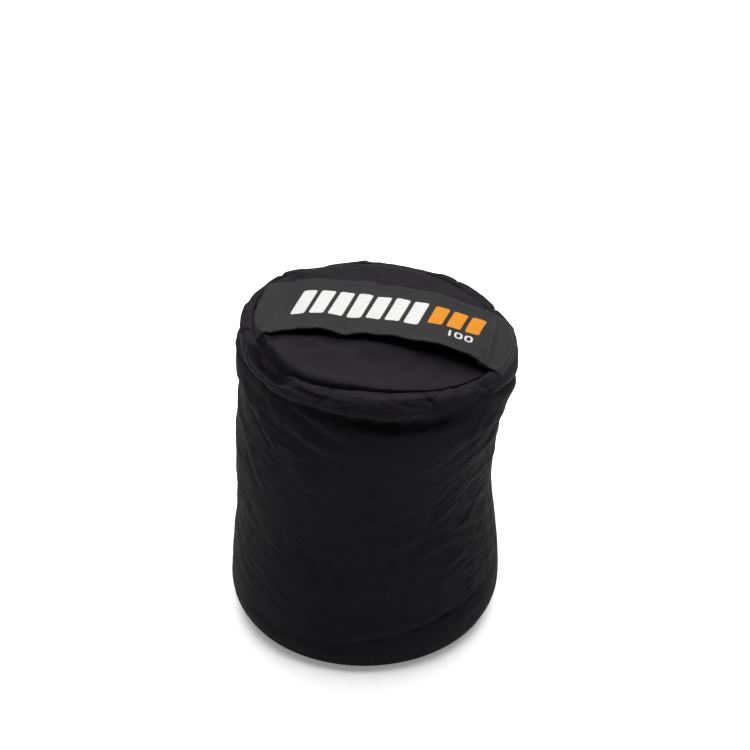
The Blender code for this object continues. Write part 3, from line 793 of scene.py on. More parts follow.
# folds in the wall, along (degrees round the bag, height)
wallFolds = [
    # right shoulder, then the shallow rings down the right side
    (0.0046, 0.015, 0.55, [(-2, 0.392), (-24, 0.412), (-40, 0.404), (-54, 0.372)]),
    (0.0026, 0.013, 0.55, [(2, 0.350), (-20, 0.362), (-40, 0.348)]),
    (0.0018, 0.012, 0.55, [(6, 0.300), (-14, 0.318), (-30, 0.306)]),
    (0.0032, 0.013, 0.55, [(6, 0.246), (-12, 0.254), (-33, 0.277), (-56, 0.262)]),
    (0.0034, 0.013, 0.55, [(8, 0.204), (-12, 0.212), (-47, 0.248), (-72, 0.228)]),
    (0.0028, 0.012, 0.55, [(8, 0.174), (-12, 0.182), (-41, 0.215), (-64, 0.194)]),
    (0.0026, 0.011, 0.55, [(6, 0.146), (-12, 0.152), (-34, 0.176), (-54, 0.162)]),
    (0.0022, 0.010, 0.55, [(6, 0.120), (-12, 0.126), (-30, 0.143)]),
    # left side, where slack falls from the shoulder in slants
    (0.0040, 0.015, 0.55, [(-178, 0.404), (-156, 0.418), (-136, 0.400), (-114, 0.336)]),
    (0.0036, 0.014, 0.55, [(-166, 0.372), (-142, 0.330), (-120, 0.250)]),
    (0.0028, 0.013, 0.55, [(-176, 0.330), (-156, 0.300), (-138, 0.238)]),
    (0.0022, 0.012, 0.55, [(-172, 0.250), (-152, 0.236), (-134, 0.206)]),
    (0.0034, 0.014, 0.55, [(-128, 0.432), (-110, 0.404), (-92, 0.392)]),
    # under the rim at the front
    (0.0030, 0.012, 0.55, [(-122, 0.452), (-104, 0.440), (-86, 0.420)]),
    (-0.0100, 0.013, 0.1, [(-104, 0.458), (-72, 0.450), (-42, 0.452)]),
    # the crease round the foot, under the bulge that it pushes out
    (-0.0075, 0.0085, -0.6, [(-96, 0.052), (-78, 0.062), (-61, 0.071), (-47, 0.077), (-30, 0.082), (-8, 0.094)]),
    (0.0028, 0.007, 0.55, [(-38, 0.088), (-35, 0.066), (-33, 0.048)]),
    (0.0022, 0.007, 0.55, [(-52, 0.084), (-46, 0.068), (-44, 0.052)]),
    # the back
    (0.0032, 0.013, 0.55, [(24, 0.290), (50, 0.322), (78, 0.304)]),
    (0.0034, 0.013, 0.55, [(30, 0.206), (58, 0.228), (86, 0.212)]),
    (0.0026, 0.011, 0.55, [(20, 0.160), (44, 0.174), (68, 0.156)]),
    (0.0036, 0.014, 0.55, [(104, 0.392), (128, 0.376), (152, 0.336)]),
    (0.0032, 0.013, 0.55, [(104, 0.256), (130, 0.270), (160, 0.246)]),
    (0.0026, 0.012, 0.55, [(112, 0.204), (134, 0.218), (160, 0.196)]),
    (0.0026, 0.011, 0.55, [(112, 0.146), (138, 0.160), (168, 0.150)]),
    (0.0030, 0.013, 0.55, [(16, 0.424), (44, 0.408), (72, 0.424)]),
    (-0.0030, 0.009, -0.5, [(100, 0.080), (134, 0.070), (172, 0.084)]),
    (-0.0030, 0.009, -0.5, [(20, 0.088), (52, 0.072), (86, 0.080)]),
]

# The rolled rim round the bag, as (degrees, value): how far it lies down, hangs, rises, sinks,
# laps, is dimpled and sags
rimLaid = [(-180, 0.0), (-164, 0.1), (-155, 0.5), (-148, 1.0), (-138, 1.0), (-122, 0.75), (-108, 0.35), (-94, 0.0),
           (60, 0.0), (100, 0.2), (140, 0.4), (160, 0.3), (172, 0.0), (180, 0.0)]
rimHang = [(-180, 0.041), (-170, 0.043), (-162, 0.0440), (-152, 0.039), (-144, 0.034), (-134, 0.034),
           (-122, 0.036), (-108, 0.030), (-92, 0.0245), (-81, 0.0240), (-71, 0.0265), (-61, 0.0225), (-46, 0.0150),
           (-31, 0.0160), (-18, 0.026), (-10, 0.034), (0, 0.044), (12, 0.050), (24, 0.048), (60, 0.042),
           (90, 0.040), (120, 0.041), (150, 0.040), (168, 0.040), (180, 0.041)]
rimCrest = [(-180, 0.0040), (-168, 0.0046), (-158, 0.0040), (-148, 0.0030), (-136, 0.0020), (-124, 0.0020),
            (-112, 0.0024), (-100, 0.0044), (-88, 0.0080), (-78, 0.0096), (-64, 0.0094), (-48, 0.0084),
            (-36, 0.0066), (-22, 0.0050), (14, 0.0050), (28, 0.0030), (40, 0.0016), (62, 0.0020), (84, 0.0012),
            (96, 0.0018), (108, 0.0020), (118, 0.0010), (138, 0.0010), (148, 0.0044), (156, 0.0010),
            (170, 0.0026), (180, 0.0040)]
rimSink = [(-180, 0.0050), (-172, 0.0050), (-164, 0.0036), (-155, 0.0015), (-146, 0.0), (-30, 0.0), (10, 0.0),
           (20, 0.002), (30, 0.006), (39, 0.008), (49, 0.004), (57, 0.001), (66, -0.001), (73, 0.003), (86, 0.005),
           (96, 0.005), (106, 0.003), (115, 0.008), (122, 0.0105), (128, 0.0110), (135, 0.006), (143, 0.003),
           (149, 0.004), (155, 0.012), (162, 0.011), (170, 0.008), (180, 0.0050)]
rimLap = [(-180, 0.0), (80, 0.0), (100, 0.001), (112, 0.001), (124, 0.0), (180, 0.0)]
rimDimple = [(-180, 0.0), (-157, 0.0), (-149, 0.6), (-143, 1.0), (-136, 1.0), (-126, 1.0), (-118, 0.6), (-110, 0.3),
             (-102, 0.1), (-95, 0.0), (180, 0.0)]
rimSag = [(-180, -0.003), (-170, -0.005), (-160, -0.005), (-150, -0.002), (-138, 0.0), (-60, 0.0), (-34, 0.002),
          (-18, 0.005), (-4, 0.007), (10, 0.005), (26, 0.0), (168, 0.0), (180, -0.003)]

# how the lid's seam is pulled out and up from its plain circle, how deep and wide its groove is, and how far
# the lid puffs up beside it
seamPull = [(-180, 0.001), (-165, 0.0), (-134, 0.001), (-118, 0.003), (-105, -0.001), (-92, -0.006), (-71, -0.007),
            (-58, -0.004), (-42, 0.0), (-27, 0.002), (-18, 0.0), (130, 0.0), (146, 0.004), (157, 0.0075),
            (168, 0.0045), (180, 0.001)]
seamRaise = [(-180, 0.0), (-134, -0.001), (-118, -0.003), (-105, 0.001), (-92, 0.0060), (-71, 0.0060),
             (-58, 0.0045), (-42, 0.0030), (-28, 0.0), (-8, 0.0), (180, 0.0)]
seamGroove = [(-180, 0.0002), (-172, 0.0005), (-166, 0.0018), (-161, 0.0050), (-155, 0.0140), (-149, 0.0200),
              (-140, 0.0170), (-122, 0.0150), (-108, 0.0140), (-96, 0.0120), (-84, 0.0090), (-60, 0.0076),
              (-30, 0.0070), (-22, 0.0050),
              (-16, 0.0006), (25, 0.0006), (50, 0.0010), (90, 0.0004), (150, 0.0006), (170, 0.0006), (180, 0.0002)]
seamWidth = [(-180, 0.0030), (-162, 0.0036), (-155, 0.0070), (-149, 0.0110), (-143, 0.0080), (-134, 0.0046),
             (-122, 0.0034), (-96, 0.0030), (-80, 0.0024), (-30, 0.0022), (180, 0.0022)]
lidPuff = [(-180, 0.0), (-160, 0.0), (-150, 0.0050), (-138, 0.0070), (-122, 0.0070), (-108, 0.0064), (-92, 0.0044),
           (-70, 0.0014), (-40, 0.0), (180, 0.0)]

# how far the shoulder puffs out under the rim, as (degrees, metres)
shoulderPuff = [(-180, 0.0060), (-170, 0.0065), (-158, 0.0050), (-146, 0.0028), (-134, 0.0018), (-118, 0.0006),
                (-100, 0.0), (-40, 0.0010), (-28, 0.0050), (-15, 0.0100), (2, 0.0120), (20, 0.0100), (40, 0.0030),
                (70, 0.0010), (120, 0.0020), (150, 0.0040), (168, 0.0060), (180, 0.0060)]


def smoothed(value, stops, shifts, period=None):
    # straight stretches between (place, value) stops, rounded at the stops
    places, values = zip(*stops)
    return sum(np.interp(value + shift, places, values, period=period) for shift in shifts) / len(shifts)


def around(turn, stops):
    return smoothed(np.degrees(wrapTurn(turn)), stops, (-4, -2, 0, 2, 4), 360)


def wave(x, stops, spread=0.004):
    return smoothed(x, stops, [share * spread for share in (-1, -0.5, 0, 0.5, 1)])


def wallRelief(turn, height):
    turn, height = np.broadcast_arrays(np.asarray(turn, float), np.asarray(height, float))
    ring = np.stack([np.cos(turn) * 1.1, np.sin(turn) * 1.1, height * 26.0], axis=-1)
    rings = softNoise(ring, 1.0, 3.1)
    broad = softNoise(np.stack([np.cos(turn), np.sin(turn), height * 4.0], axis=-1), 1.6, 7.7)
    drape = softNoise(np.stack([np.cos(turn) * 5, np.sin(turn) * 5, height * 3.0], axis=-1), 1.0, 1.9)
    relief = wall["slack"] * (rings * hill(height, *wall["ringsAt"]) + 0.9 * broad
                              + 0.8 * drape * hill(height, *wall["drapesAt"]))
    lip = bag["seamHeight"] - around(turn, rimHang)
    puff = hill(height - lip, *wall["puffAt"]) + 0.5 * hill(height, *wall["lowPuffAt"])
    relief = relief + around(turn, shoulderPuff) * puff * (1 - span(-0.010, 0.004, height - lip))
    relief = relief * ease(height / wall["footQuiet"]) + foldRelief(turn, height, wallFolds)
    return relief * (1 - span(*wall["topQuiet"], height))


def wallPath(v):
    # radius and height up the outside of the wall
    corner = np.clip(v / wall["footShare"], 0, 1) * math.pi / 2
    up = mix(bag["bulgeHeight"], wall["top"], np.clip((v - wall["footShare"]) / (1 - wall["footShare"]), 0, 1))
    onCorner = v < wall["footShare"]
    height = np.where(onCorner, bag["bulgeHeight"] * (1 - np.cos(corner)), up)
    foot = bag["footRadius"] + bag["gap"]
    return np.where(onCorner, foot + (bag["bulgeRadius"] - foot) * np.sin(corner), wallRadius(height)), height


def wallPlace(u, v):
    turn = math.tau * u + math.pi / 2
    radius, height = wallPath(v)
    groove = around(turn, seamGroove)
    under = groove - around(turn, seamRaise) + wall["tuck"]
    flare = wall["flare"] * np.clip(1 - groove / wall["flareGroove"], 0, 1) * span(*wall["flareAt"], height)
    relief = wallRelief(turn, height) + flare
    return settled(radius + relief, turn, height - under * span(wall["tuckFrom"], wall["top"], height))


def wallHold(u, v):
    # where the simulation keeps the cloth: at the foot, under the rim and along the back seam
    turn = math.tau * u + math.pi / 2
    height = wallPath(v)[1]
    seam = 1 - span(*wall["holdSeam"], np.abs(wrapTurn(turn - wall["seamTurn"])))
    ends = np.maximum(1 - span(*wall["holdFoot"], height), span(*wall["holdTop"], height))
    return np.maximum(np.maximum(ends, seam), wall["softHold"])


def onFoot(share, height):
    # a place on the wall's lower corner
    corner = np.arccos(1 - height / bag["bulgeHeight"])
    foot = bag["footRadius"] + bag["gap"]
    radius = foot + (bag["bulgeRadius"] - foot) * np.sin(corner) + footStitch["lift"]
    return settled(radius, math.tau * share, height)


def makeWall():
    bm = clothGrid(wall["columns"], wall["rows"], wallPlace, math.tau * bag["girthRadius"], wall["clothHeight"])
    piece = newPiece("bagWall", bm, wallCloth, thread)
    settleCloth(piece, wall["settle"], wallHold)
    thicken(piece, wall["thickness"])
    rows = stitchRows(onFoot, wall["stitchHeights"], 0, 1, math.tau * 0.2, footStitch, 0.5)
    addStitches(piece, rows, footStitch)
    dress(piece, "bag", "nylon", "body_wall")


makeWall()
print("wall made")

backSeam = {
    "halfTurn": math.radians(2.7),
    "width": 0.019,
    "low": 0.050,
    "high": 0.446,
    "thickness": 0.0012,
    "clear": 0.0003,
    "ripple": 0.0002,
    "stitchShares": (0.13, 0.22, 0.78, 0.87),  # of its width
}


def seamPlace(u, v, out=0.0):
    turn = wall["seamTurn"] + mix(-1, 1, u) * backSeam["halfTurn"]
    height = mix(backSeam["low"], backSeam["high"], v)
    edge = 1 - np.exp(-(1 - np.abs(2 * u - 1)) / 0.05)
    lift = backSeam["clear"] + backSeam["thickness"] * mix(0.75, 1, edge)
    lift = lift + backSeam["ripple"] * np.sin(height * 900)
    return settled(wallRadius(height) + wallRelief(turn, height) + lift + out, turn, height)


def makeBackSeam():
    bm = clothGrid(14, 150, seamPlace, backSeam["width"], 0.40)
    turnOutward(bm)
    piece = newPiece("backSeam", bm, nylon, thread)
    thicken(piece, backSeam["thickness"])
    rows = stitchRows(lambda share, across: seamPlace(across, share, stitch["lift"]), backSeam["stitchShares"],
                      0.004, 0.996, 0.396, stitch, 1 / backSeam["width"])
    addStitches(piece, rows, stitch)
    dress(piece, "bag", "nylon", "back_seam")


makeBackSeam()
print("back seam made")

basePanel = {"rings": 22, "segments": 160, "thickness": 0.0013, "clear": 0.0002, "dip": 0.0007}


def makeBase():
    def place(x, y, z):
        radius, turn = np.hypot(x, y), np.arctan2(y, x)
        waves = softNoise(np.stack([x, y, z], axis=-1), 22.0, 4.9)
        dip = basePanel["dip"] * ease((bag["footRadius"] - radius) / 0.03) * (0.5 + 0.5 * waves)
        return settled(radius, turn, basePanel["thickness"] + dip)

    bm = clothDisc(basePanel["rings"], basePanel["segments"], bag["footRadius"] - basePanel["clear"], place)
    piece = newPiece("basePanel", bm, nylon)
    thicken(piece, basePanel["thickness"])
    dress(piece, "bag", "nylon", "base_panel")


makeBase()
print("base made")

baseBinding = {
    "half": 0.008,
    "thickness": 0.0018,
    "inset": 0.0018,
    "foldInset": 0.0045,  # of the fold, from the foot's radius
    "foldReach": 0.0075,
    "foldRise": 0.0042,
}


def makeBaseBinding():
    def place(u, v):
        turn = math.tau * u + math.pi / 2
        inset = baseBinding["inset"] + baseBinding["thickness"]
        flat = 1 - np.clip(v / 0.5, 0, 1)
        climb = np.clip(v / 0.5 - 1, 0, 1)
        radius = bag["footRadius"] - baseBinding["foldInset"] - baseBinding["half"] * flat
        radius = radius + baseBinding["foldReach"] * np.sin(climb * 1.2)
        return settled(radius, turn, inset + baseBinding["foldRise"] * (1 - np.cos(climb * 1.3)))

    bm = clothGrid(200, 8, place, math.tau * 0.19, 2 * baseBinding["half"])
    piece = newPiece("baseBinding", bm, webbing)
    turnUpward(piece)
    thicken(piece, baseBinding["thickness"])
    dress(piece, "bag", "webbing", "base_seam_binding")


makeBaseBinding()
print("base binding made")

rim = {
    "columns": 400,
    "rows": 60,
    "thickness": 0.0012,
    "reach": 0.007,
    "lumps": 0.0016,
    "gathers": 0.0009,  # at the seam
    "lapAt": (0.15, 0.10),  # the middle and the spread, up the section
    "sagAt": (0.66, 0.16),
    "holdSeam": (0.02, 0.16),
    "holdLip": (0.80, 0.98),
    "holdBand": (math.radians(21), math.radians(33)),
    "clothWidth": 0.10,
    "softHold": 0.05,
    "settle": dict(clothSettling, spare=0.03, cap=0.0030),
}

# The roll's section from the lid's seam to the lip under it: shares of its reach, and of its crest above
# or its hang below. One is rolled under, one lies down on the wall and one is pressed in on top
rolledSection = [(0.00, 0.00), (0.03, 0.42), (0.14, 0.84), (0.36, 1.00), (0.60, 0.86), (0.80, 0.48),
                 (0.94, -0.02), (1.00, -0.25), (1.01, -0.50), (0.96, -0.76), (0.84, -0.95), (0.62, -1.05),
                 (0.36, -1.00), (0.18, -0.88)]
laidSection = [(0.00, 0.00), (0.03, 0.42), (0.14, 0.84), (0.36, 1.00), (0.60, 0.86), (0.80, 0.48),
               (0.92, -0.02), (0.95, -0.18), (0.90, -0.36), (0.78, -0.55), (0.62, -0.73), (0.44, -0.88),
               (0.24, -1.00), (0.05, -1.10)]
dimpledSection = [(0.00, 0.00), (0.05, -0.12), (0.14, -0.32), (0.28, -0.58), (0.46, -0.76), (0.64, -0.74),
                  (0.82, -0.50), (0.97, -0.42), (1.04, -0.55), (1.00, -0.72), (0.86, -0.88), (0.62, -1.00),
                  (0.34, -1.06), (0.10, -1.10)]

# pinches and ripples over the roll, along (degrees, share of the section)
rimFolds = [
    (-0.0060, 0.036, -0.5, [(-61, 0.10), (-60, 0.32), (-57, 0.56)]),
    (-0.0036, 0.036, -0.5, [(-45, 0.06), (-46, 0.30), (-49, 0.52)]),
    (-0.0022, 0.040, -0.5, [(-36, 0.10), (-34, 0.34), (-30, 0.56)]),
    (-0.0028, 0.060, -0.4, [(-100, 0.08), (-101, 0.40), (-106, 0.66)]),
    (-0.0040, 0.060, -0.3, [(-160, 0.05), (-161, 0.40), (-163, 0.80)]),
    (0.0034, 0.090, 0.55, [(-118, 0.52), (-104, 0.62), (-84, 0.60)]),
    (0.0030, 0.060, 0.55, [(-146, 0.46), (-136, 0.52), (-124, 0.50)]),
    (-0.0024, 0.050, -0.4, [(-134, 0.70), (-122, 0.78), (-112, 0.74)]),
    (0.0026, 0.070, 0.55, [(-82, 0.30), (-70, 0.50), (-56, 0.66)]),
    (0.0028, 0.070, 0.55, [(-40, 0.46), (-26, 0.58), (-12, 0.52)]),
    (0.0022, 0.050, 0.55, [(-30, 0.20), (-22, 0.32), (-15, 0.36)]),
    (0.0016, 0.110, 0.55, [(108, 0.05), (105, 0.40), (101, 0.70)]),
    (-0.0034, 0.060, -0.3, [(122, 0.05), (123, 0.40), (126, 0.70)]),
    (-0.0026, 0.060, -0.3, [(62, 0.10), (61, 0.45), (64, 0.75)]),
    (-0.0026, 0.060, -0.3, [(145, 0.10), (147, 0.45), (143, 0.75)]),
    (-0.0024, 0.060, -0.3, [(35, 0.10), (36, 0.45), (33, 0.75)]),
    (-0.0024, 0.060, -0.3, [(174, 0.10), (172, 0.45), (175, 0.75)]),
]


def throughStops(share, stops):
    # a Catmull-Rom curve through points in the plane
    points = np.array(stops, float)
    points = np.vstack([2 * points[0] - points[1], points, 2 * points[-1] - points[-2]])
    place = np.clip(share, 0, 1) * (len(stops) - 1)
    index = np.minimum(place.astype(int), len(stops) - 2)
    t = (place - index)[:, None]
    a, b, c, d = points[index], points[index + 1], points[index + 2], points[index + 3]
    return 0.5 * (2 * b + (c - a) * t + (2 * a - 5 * b + 4 * c - d) * t**2 + (3 * b - a - 3 * c + d) * t**3)


def underBandEnd(turn):
    # 0 where the band's end lies over the rim, 1 away from it
    return span(*rim["holdBand"], np.abs(wrapTurn(turn)))


def rimPlace(u, v):
    turn = -math.tau * u + math.pi / 2
    laid = around(turn, rimLaid)
    section = mix(throughStops(v, rolledSection), throughStops(v, laidSection), laid[:, None])
    section = mix(section, throughStops(v, dimpledSection), around(turn, rimDimple)[:, None])
    out, up = section[:, 0], section[:, 1]
    free = underBandEnd(turn)
    circle = np.stack([np.cos(turn), np.sin(turn), v * 1.4], axis=-1)
    lump = softNoise(circle, 4.6, 2.3) * rim["lumps"] + softNoise(circle, 11.0, 5.1) * rim["lumps"] * 0.45
    gather = softNoise(np.stack([np.cos(turn) * 24, np.sin(turn) * 24, v * 3], axis=-1), 1.0, 8.8)
    lump = lump + rim["gathers"] * gather * np.exp(-v / 0.12)
    lump = lump + foldRelief(turn, v, rimFolds, reach=2.5)
    hang = around(turn, rimHang) * (1 + 0.05 * softNoise(circle * np.array([1, 1, 0]), 2.7, 4.4))
    level = around(turn, seamRaise) - around(turn, seamGroove)
    atSeam = 1 - span(0.02, 0.15, out)
    height = np.where(up > 0, up * around(turn, rimCrest), up * hang)
    height = height + level * np.where(v < 0.5, atSeam, 0)
    height = height - around(turn, rimSink) * span(0.05, 0.50, out + (v > 0.5))
    reach = bag["shoulderRadius"] - bag["seamRadius"] + rim["reach"]
    # below the crest it keeps clear of the wall
    low = np.minimum(height, -0.004) + bag["seamHeight"]
    wallAt = wallRadius(low) + wallRelief(turn, low) * span(-0.002, -0.030, height)
    under = wallAt + bag["gap"] + rim["thickness"] + out * (bag["shoulderRadius"] + rim["reach"] - wallRadius(low))
    top = bag["seamRadius"] + bag["gap"] + out * reach + around(turn, seamPull) * (1 - span(0.0, 0.55, out))
    radius = mix(under, top, span(-0.12, 0.02, np.where(v < 0.5, np.maximum(up, 0.02), up)))
    lump = lump * ease(v / 0.05) * np.where(lump > 0, mix(0.15, 1, free), 1)
    lump = lump * (1 - 0.8 * laid * span(0.80, 0.97, v))
    lap = around(turn, rimLap) * hill(v, *rim["lapAt"]) * free
    sag = around(turn, rimSag) * hill(v, *rim["sagAt"])
    radius = radius + lump * np.clip(out * 1.2, 0.2, 1) - lap + sag
    height = height + lump * np.clip(up, 0, 1)
    return lidPoint(radius * np.cos(turn), radius * np.sin(turn), height)


def rimHold(u, v):
    # the simulation keeps the roll at the seam, at its lip and under the band's end
    turn = -math.tau * u + math.pi / 2
    ends = np.maximum(1 - span(*rim["holdSeam"], v), span(*rim["holdLip"], v))
    return np.maximum(np.maximum(ends, 1 - underBandEnd(turn)), rim["softHold"])


def makeRim():
    bm = clothGrid(rim["columns"], rim["rows"], rimPlace, math.tau * bag["girthRadius"], rim["clothWidth"])
    piece = newPiece("rimRoll", bm, nylon)
    settleCloth(piece, rim["settle"], rimHold)
    thicken(piece, rim["thickness"])
    dress(piece, "bag", "nylon", "rim_roll")


makeRim()
print("rim made")

lid = {
    "rings": 54,
    "segments": 240,
    "thickness": 0.0010,
    "slitHalf": 0.008,
    "stitchInsets": (0.0025, 0.0075),  # from the slit
    "stitchHalf": 0.178,
    "edgeFade": 0.02,  # the folds fade out this near the seam
    "ripple": 0.0016,
    "pucker": 0.0016,
    "rearPuff": 0.0030,
    "bandSink": 0.008,  # beside the band's sewn end
    "bandSinkAt": ((-0.147, 0.009), (-0.088, 0.013)),  # its middle and spread, along the lid and across it
    "pillowAt": (-0.084, 0.020),  # across the lid
    "puckerAt": (0.012, 0.014),  # in from the seam, and so on
    "puffAt": (0.011, 0.011),
    "rearPuffAt": (0.016, 0.014),
    "raiseSpread": 0.030,
    "pullSpread": 0.045,
}

# soft folds over the lid, along (degrees, distance from the middle)
lidFolds = [
    (0.0024, 0.014, 0.55, [(-152, 0.150), (-130, 0.120), (-96, 0.105)]),
    (0.0020, 0.013, 0.55, [(-134, 0.168), (-122, 0.130), (-112, 0.100)]),
    (0.0022, 0.013, 0.55, [(-70, 0.165), (-52, 0.135), (-38, 0.120)]),
    (0.0020, 0.007, 0.55, [(-36, 0.176), (-34, 0.158), (-32, 0.140)]),
    (0.0018, 0.007, 0.55, [(-48, 0.178), (-47, 0.164), (-46, 0.150)]),
    (0.0050, 0.018, 0.55, [(106, 0.184), (99, 0.140), (92, 0.104)]),
    (0.0040, 0.017, 0.55, [(150, 0.176), (132, 0.150), (116, 0.158)]),
    (0.0028, 0.013, 0.55, [(66, 0.168), (74, 0.132), (80, 0.106)]),
    (0.0024, 0.012, 0.55, [(46, 0.176), (50, 0.150), (54, 0.130)]),
    (0.0075, 0.012, 0.55, [(151, 0.184), (145, 0.178), (137, 0.172)]),
]

# how far the lid puffs up before the band's front hem, as (distance along the lid, metres)
lidPillow = [(-0.175, 0.0), (-0.150, 0.0010), (-0.125, 0.0020), (-0.100, 0.0036), (-0.085, 0.0058),
             (-0.070, 0.0040), (-0.050, 0.0010), (-0.038, 0.0010), (-0.022, 0.0050), (0.0, 0.0080),
             (0.030, 0.0064), (0.060, 0.0030), (0.095, 0.0)]


def lidRelief(x, y):
    radius, turn = np.hypot(x, y), np.arctan2(y, x)
    flat = np.stack([x, y, np.zeros_like(x)], axis=-1)
    inset = bag["seamRadius"] - radius
    ripple = lid["ripple"] * (softNoise(flat, 14.0, 1.3) + 0.4 * softNoise(flat, 34.0, 6.1))
    pucker = softNoise(np.stack([np.cos(turn) * 20, np.sin(turn) * 20, inset * 20], axis=-1), 1.0, 9.3)
    relief = ripple * ease(inset / 0.03) + lid["pucker"] * pucker * hill(inset, *lid["puckerAt"])
    relief = relief - around(turn, seamGroove) * np.exp(-(np.maximum(inset, 0) / around(turn, seamWidth)) ** 4)
    relief = relief + around(turn, lidPuff) * hill(inset, *lid["puffAt"])
    relief = relief + around(turn, seamRaise) * hill(inset, 0, lid["raiseSpread"])
    rear = span(math.radians(48), math.radians(76), turn) * span(math.radians(165), math.radians(140), turn)
    relief = relief + lid["rearPuff"] * rear * hill(inset, *lid["rearPuffAt"])
    relief = relief + foldRelief(turn, radius, lidFolds, reach=0.14) * ease(inset / lid["edgeFade"])
    # it puffs up before the band's hem, sinks beside the band's sewn end, and lies flat along the zip
    relief = relief + wave(x, lidPillow, 0.012) * hill(y, *lid["pillowAt"]) * ease(inset / lid["edgeFade"])
    sinkAlong, sinkAcross = lid["bandSinkAt"]
    sink = lid["bandSink"] * hill(x, *sinkAlong) * hill(y, *sinkAcross)
    quiet = span(0.012, 0.060, np.abs(y))
    return relief * mix(0.05, 1, quiet) - sink


def lidTop(x, y):
    return lidHeight(np.minimum(np.hypot(x, y), bag["seamRadius"])) + lidRelief(x, y)


def lidSpread(x, y, under=0.0):
    # a point of the flat lid, drawn out or in with its seam
    radius = np.maximum(np.hypot(x, y), 1e-9)
    pull = around(np.arctan2(y, x), seamPull) * hill(radius, bag["seamRadius"], lid["pullSpread"])
    return lidPoint(x * (1 + pull / radius), y * (1 + pull / radius), lidTop(x, y) - under)


def makeLidHalf(name, node, side):
    bm = clothDisc(lid["rings"], lid["segments"], bag["seamRadius"], None, closer=1.7)
    bmesh.ops.bisect_plane(bm, geom=bm.verts[:] + bm.edges[:] + bm.faces[:],
                           plane_co=(0, side * lid["slitHalf"], 0), plane_no=(0, -side, 0), clear_outer=True)
    bm = placed(bm, lambda x, y, z: lidSpread(x, y))
    piece = newPiece(name, bm, nylon, thread)
    thicken(piece, lid["thickness"])
    hems = [side * (lid["slitHalf"] + inset) for inset in lid["stitchInsets"]]
    rows = stitchRows(lambda x, y: lidPoint(x, y, lidTop(x, y) + 2 * stitch["lift"]), hems,
                      -lid["stitchHalf"], lid["stitchHalf"], 2 * lid["stitchHalf"], stitch)
    addStitches(piece, rows, stitch)
    dress(piece, "bag", "nylon", node)


makeLidHalf("lidFront", "lid_front", -1)
makeLidHalf("lidRear", "lid_rear", 1)
print("lid made")

lidBinding = {"inner": 0.1696, "outer": 0.1848, "thickness": 0.0018, "clear": 0.0006, "edgeFall": 0.0005}


def makeLidBinding():
    def place(u, v):
        turn = math.tau * u
        radius = mix(lidBinding["inner"], lidBinding["outer"], v)
        edgeFall = lidBinding["edgeFall"] * (2 * v - 1) ** 4
        return lidSpread(radius * np.cos(turn), radius * np.sin(turn),
                         lid["thickness"] + lidBinding["clear"] + edgeFall)

    wide = lidBinding["outer"] - lidBinding["inner"]
    bm = clothGrid(260, 8, place, math.tau * 0.178, wide)
    piece = newPiece("lidBinding", bm, webbing)
    turnUpward(piece)
    thicken(piece, lidBinding["thickness"])
    dress(piece, "bag", "webbing", "lid_seam_binding")


makeLidBinding()
print("lid binding made")

zipper = {
    "tapeInner": 0.0035,
    "tapeOuter": 0.0165,
    "tapeTop": -0.001654,  # under the crown of the lid
    "tapeThickness": 0.0008,
    "ribs": 0.00006,
    "tapeHalf": 0.1681,
    "stitchPlaces": (0.0105, 0.0155),  # from the zip's middle
    "stitchHalf": 0.160,
    "toothHeight": 0.0024,
    "beadOuter": 0.0032,
    "chainEnds": (-0.1320, 0.1280),
    "toothRound": 0.00028,
    "sliderRound": 0.00035,
    "pullRound": 0.00030,
}


def onCrown(along, across, height):
    # a point beside the zip's centre line, which is an arc over the lid
    curve = lidCurve()
    turn = along / curve
    return lidPoint((curve + height) * np.sin(turn), across,
                    bag["lidRise"] - curve + (curve + height) * np.cos(turn))


def makeTape(name, node, side):
    def place(u, v):
        across = side * mix(zipper["tapeInner"], zipper["tapeOuter"], v)
        edge = np.exp(-np.minimum(v, 1 - v) / 0.05)
        ribs = zipper["ribs"] * np.sin(v * 60) - 0.0001 * edge
        return onCrown(mix(-1, 1, u) * zipper["tapeHalf"], across, zipper["tapeTop"] + ribs)

    bm = clothGrid(220, 20, place, 0.336, 0.013)
    piece = newPiece(name, bm, webbing, thread)
    turnUpward(piece)
    thicken(piece, zipper["tapeThickness"])
    rows = stitchRows(lambda x, across: onCrown(x, side * across, zipper["tapeTop"] + fineStitch["lift"]),
                      zipper["stitchPlaces"], -zipper["stitchHalf"], zipper["stitchHalf"],
                      2 * zipper["stitchHalf"], fineStitch)
    addStitches(piece, rows, fineStitch)
    dress(piece, "bag", "webbing", node)


def makeTab(name, node, end, chainEnd):
    middle = zipper["tapeTop"] - zipper["tapeThickness"] / 2

    def place(u, v):
        turn = math.tau * v
        across = zipper["beadOuter"] * np.sign(np.cos(turn)) * np.abs(np.cos(turn)) ** 0.5
        height = middle + zipper["toothHeight"] / 2 * np.sign(np.sin(turn)) * np.abs(np.sin(turn)) ** 0.5
        across = across * mix(0.82, 1, ease(np.minimum(u, 1 - u) / 0.05))
        return onCrown(end * mix(chainEnd + 0.0003, zipper["tapeHalf"], u), across, height)

    bm = clothGrid(40, 28, place, zipper["tapeHalf"] - chainEnd, 0.018)
    closeEnds(bm)
    piece = newPiece(name, bm, webbing)
    dress(piece, "bag", "webbing", node)


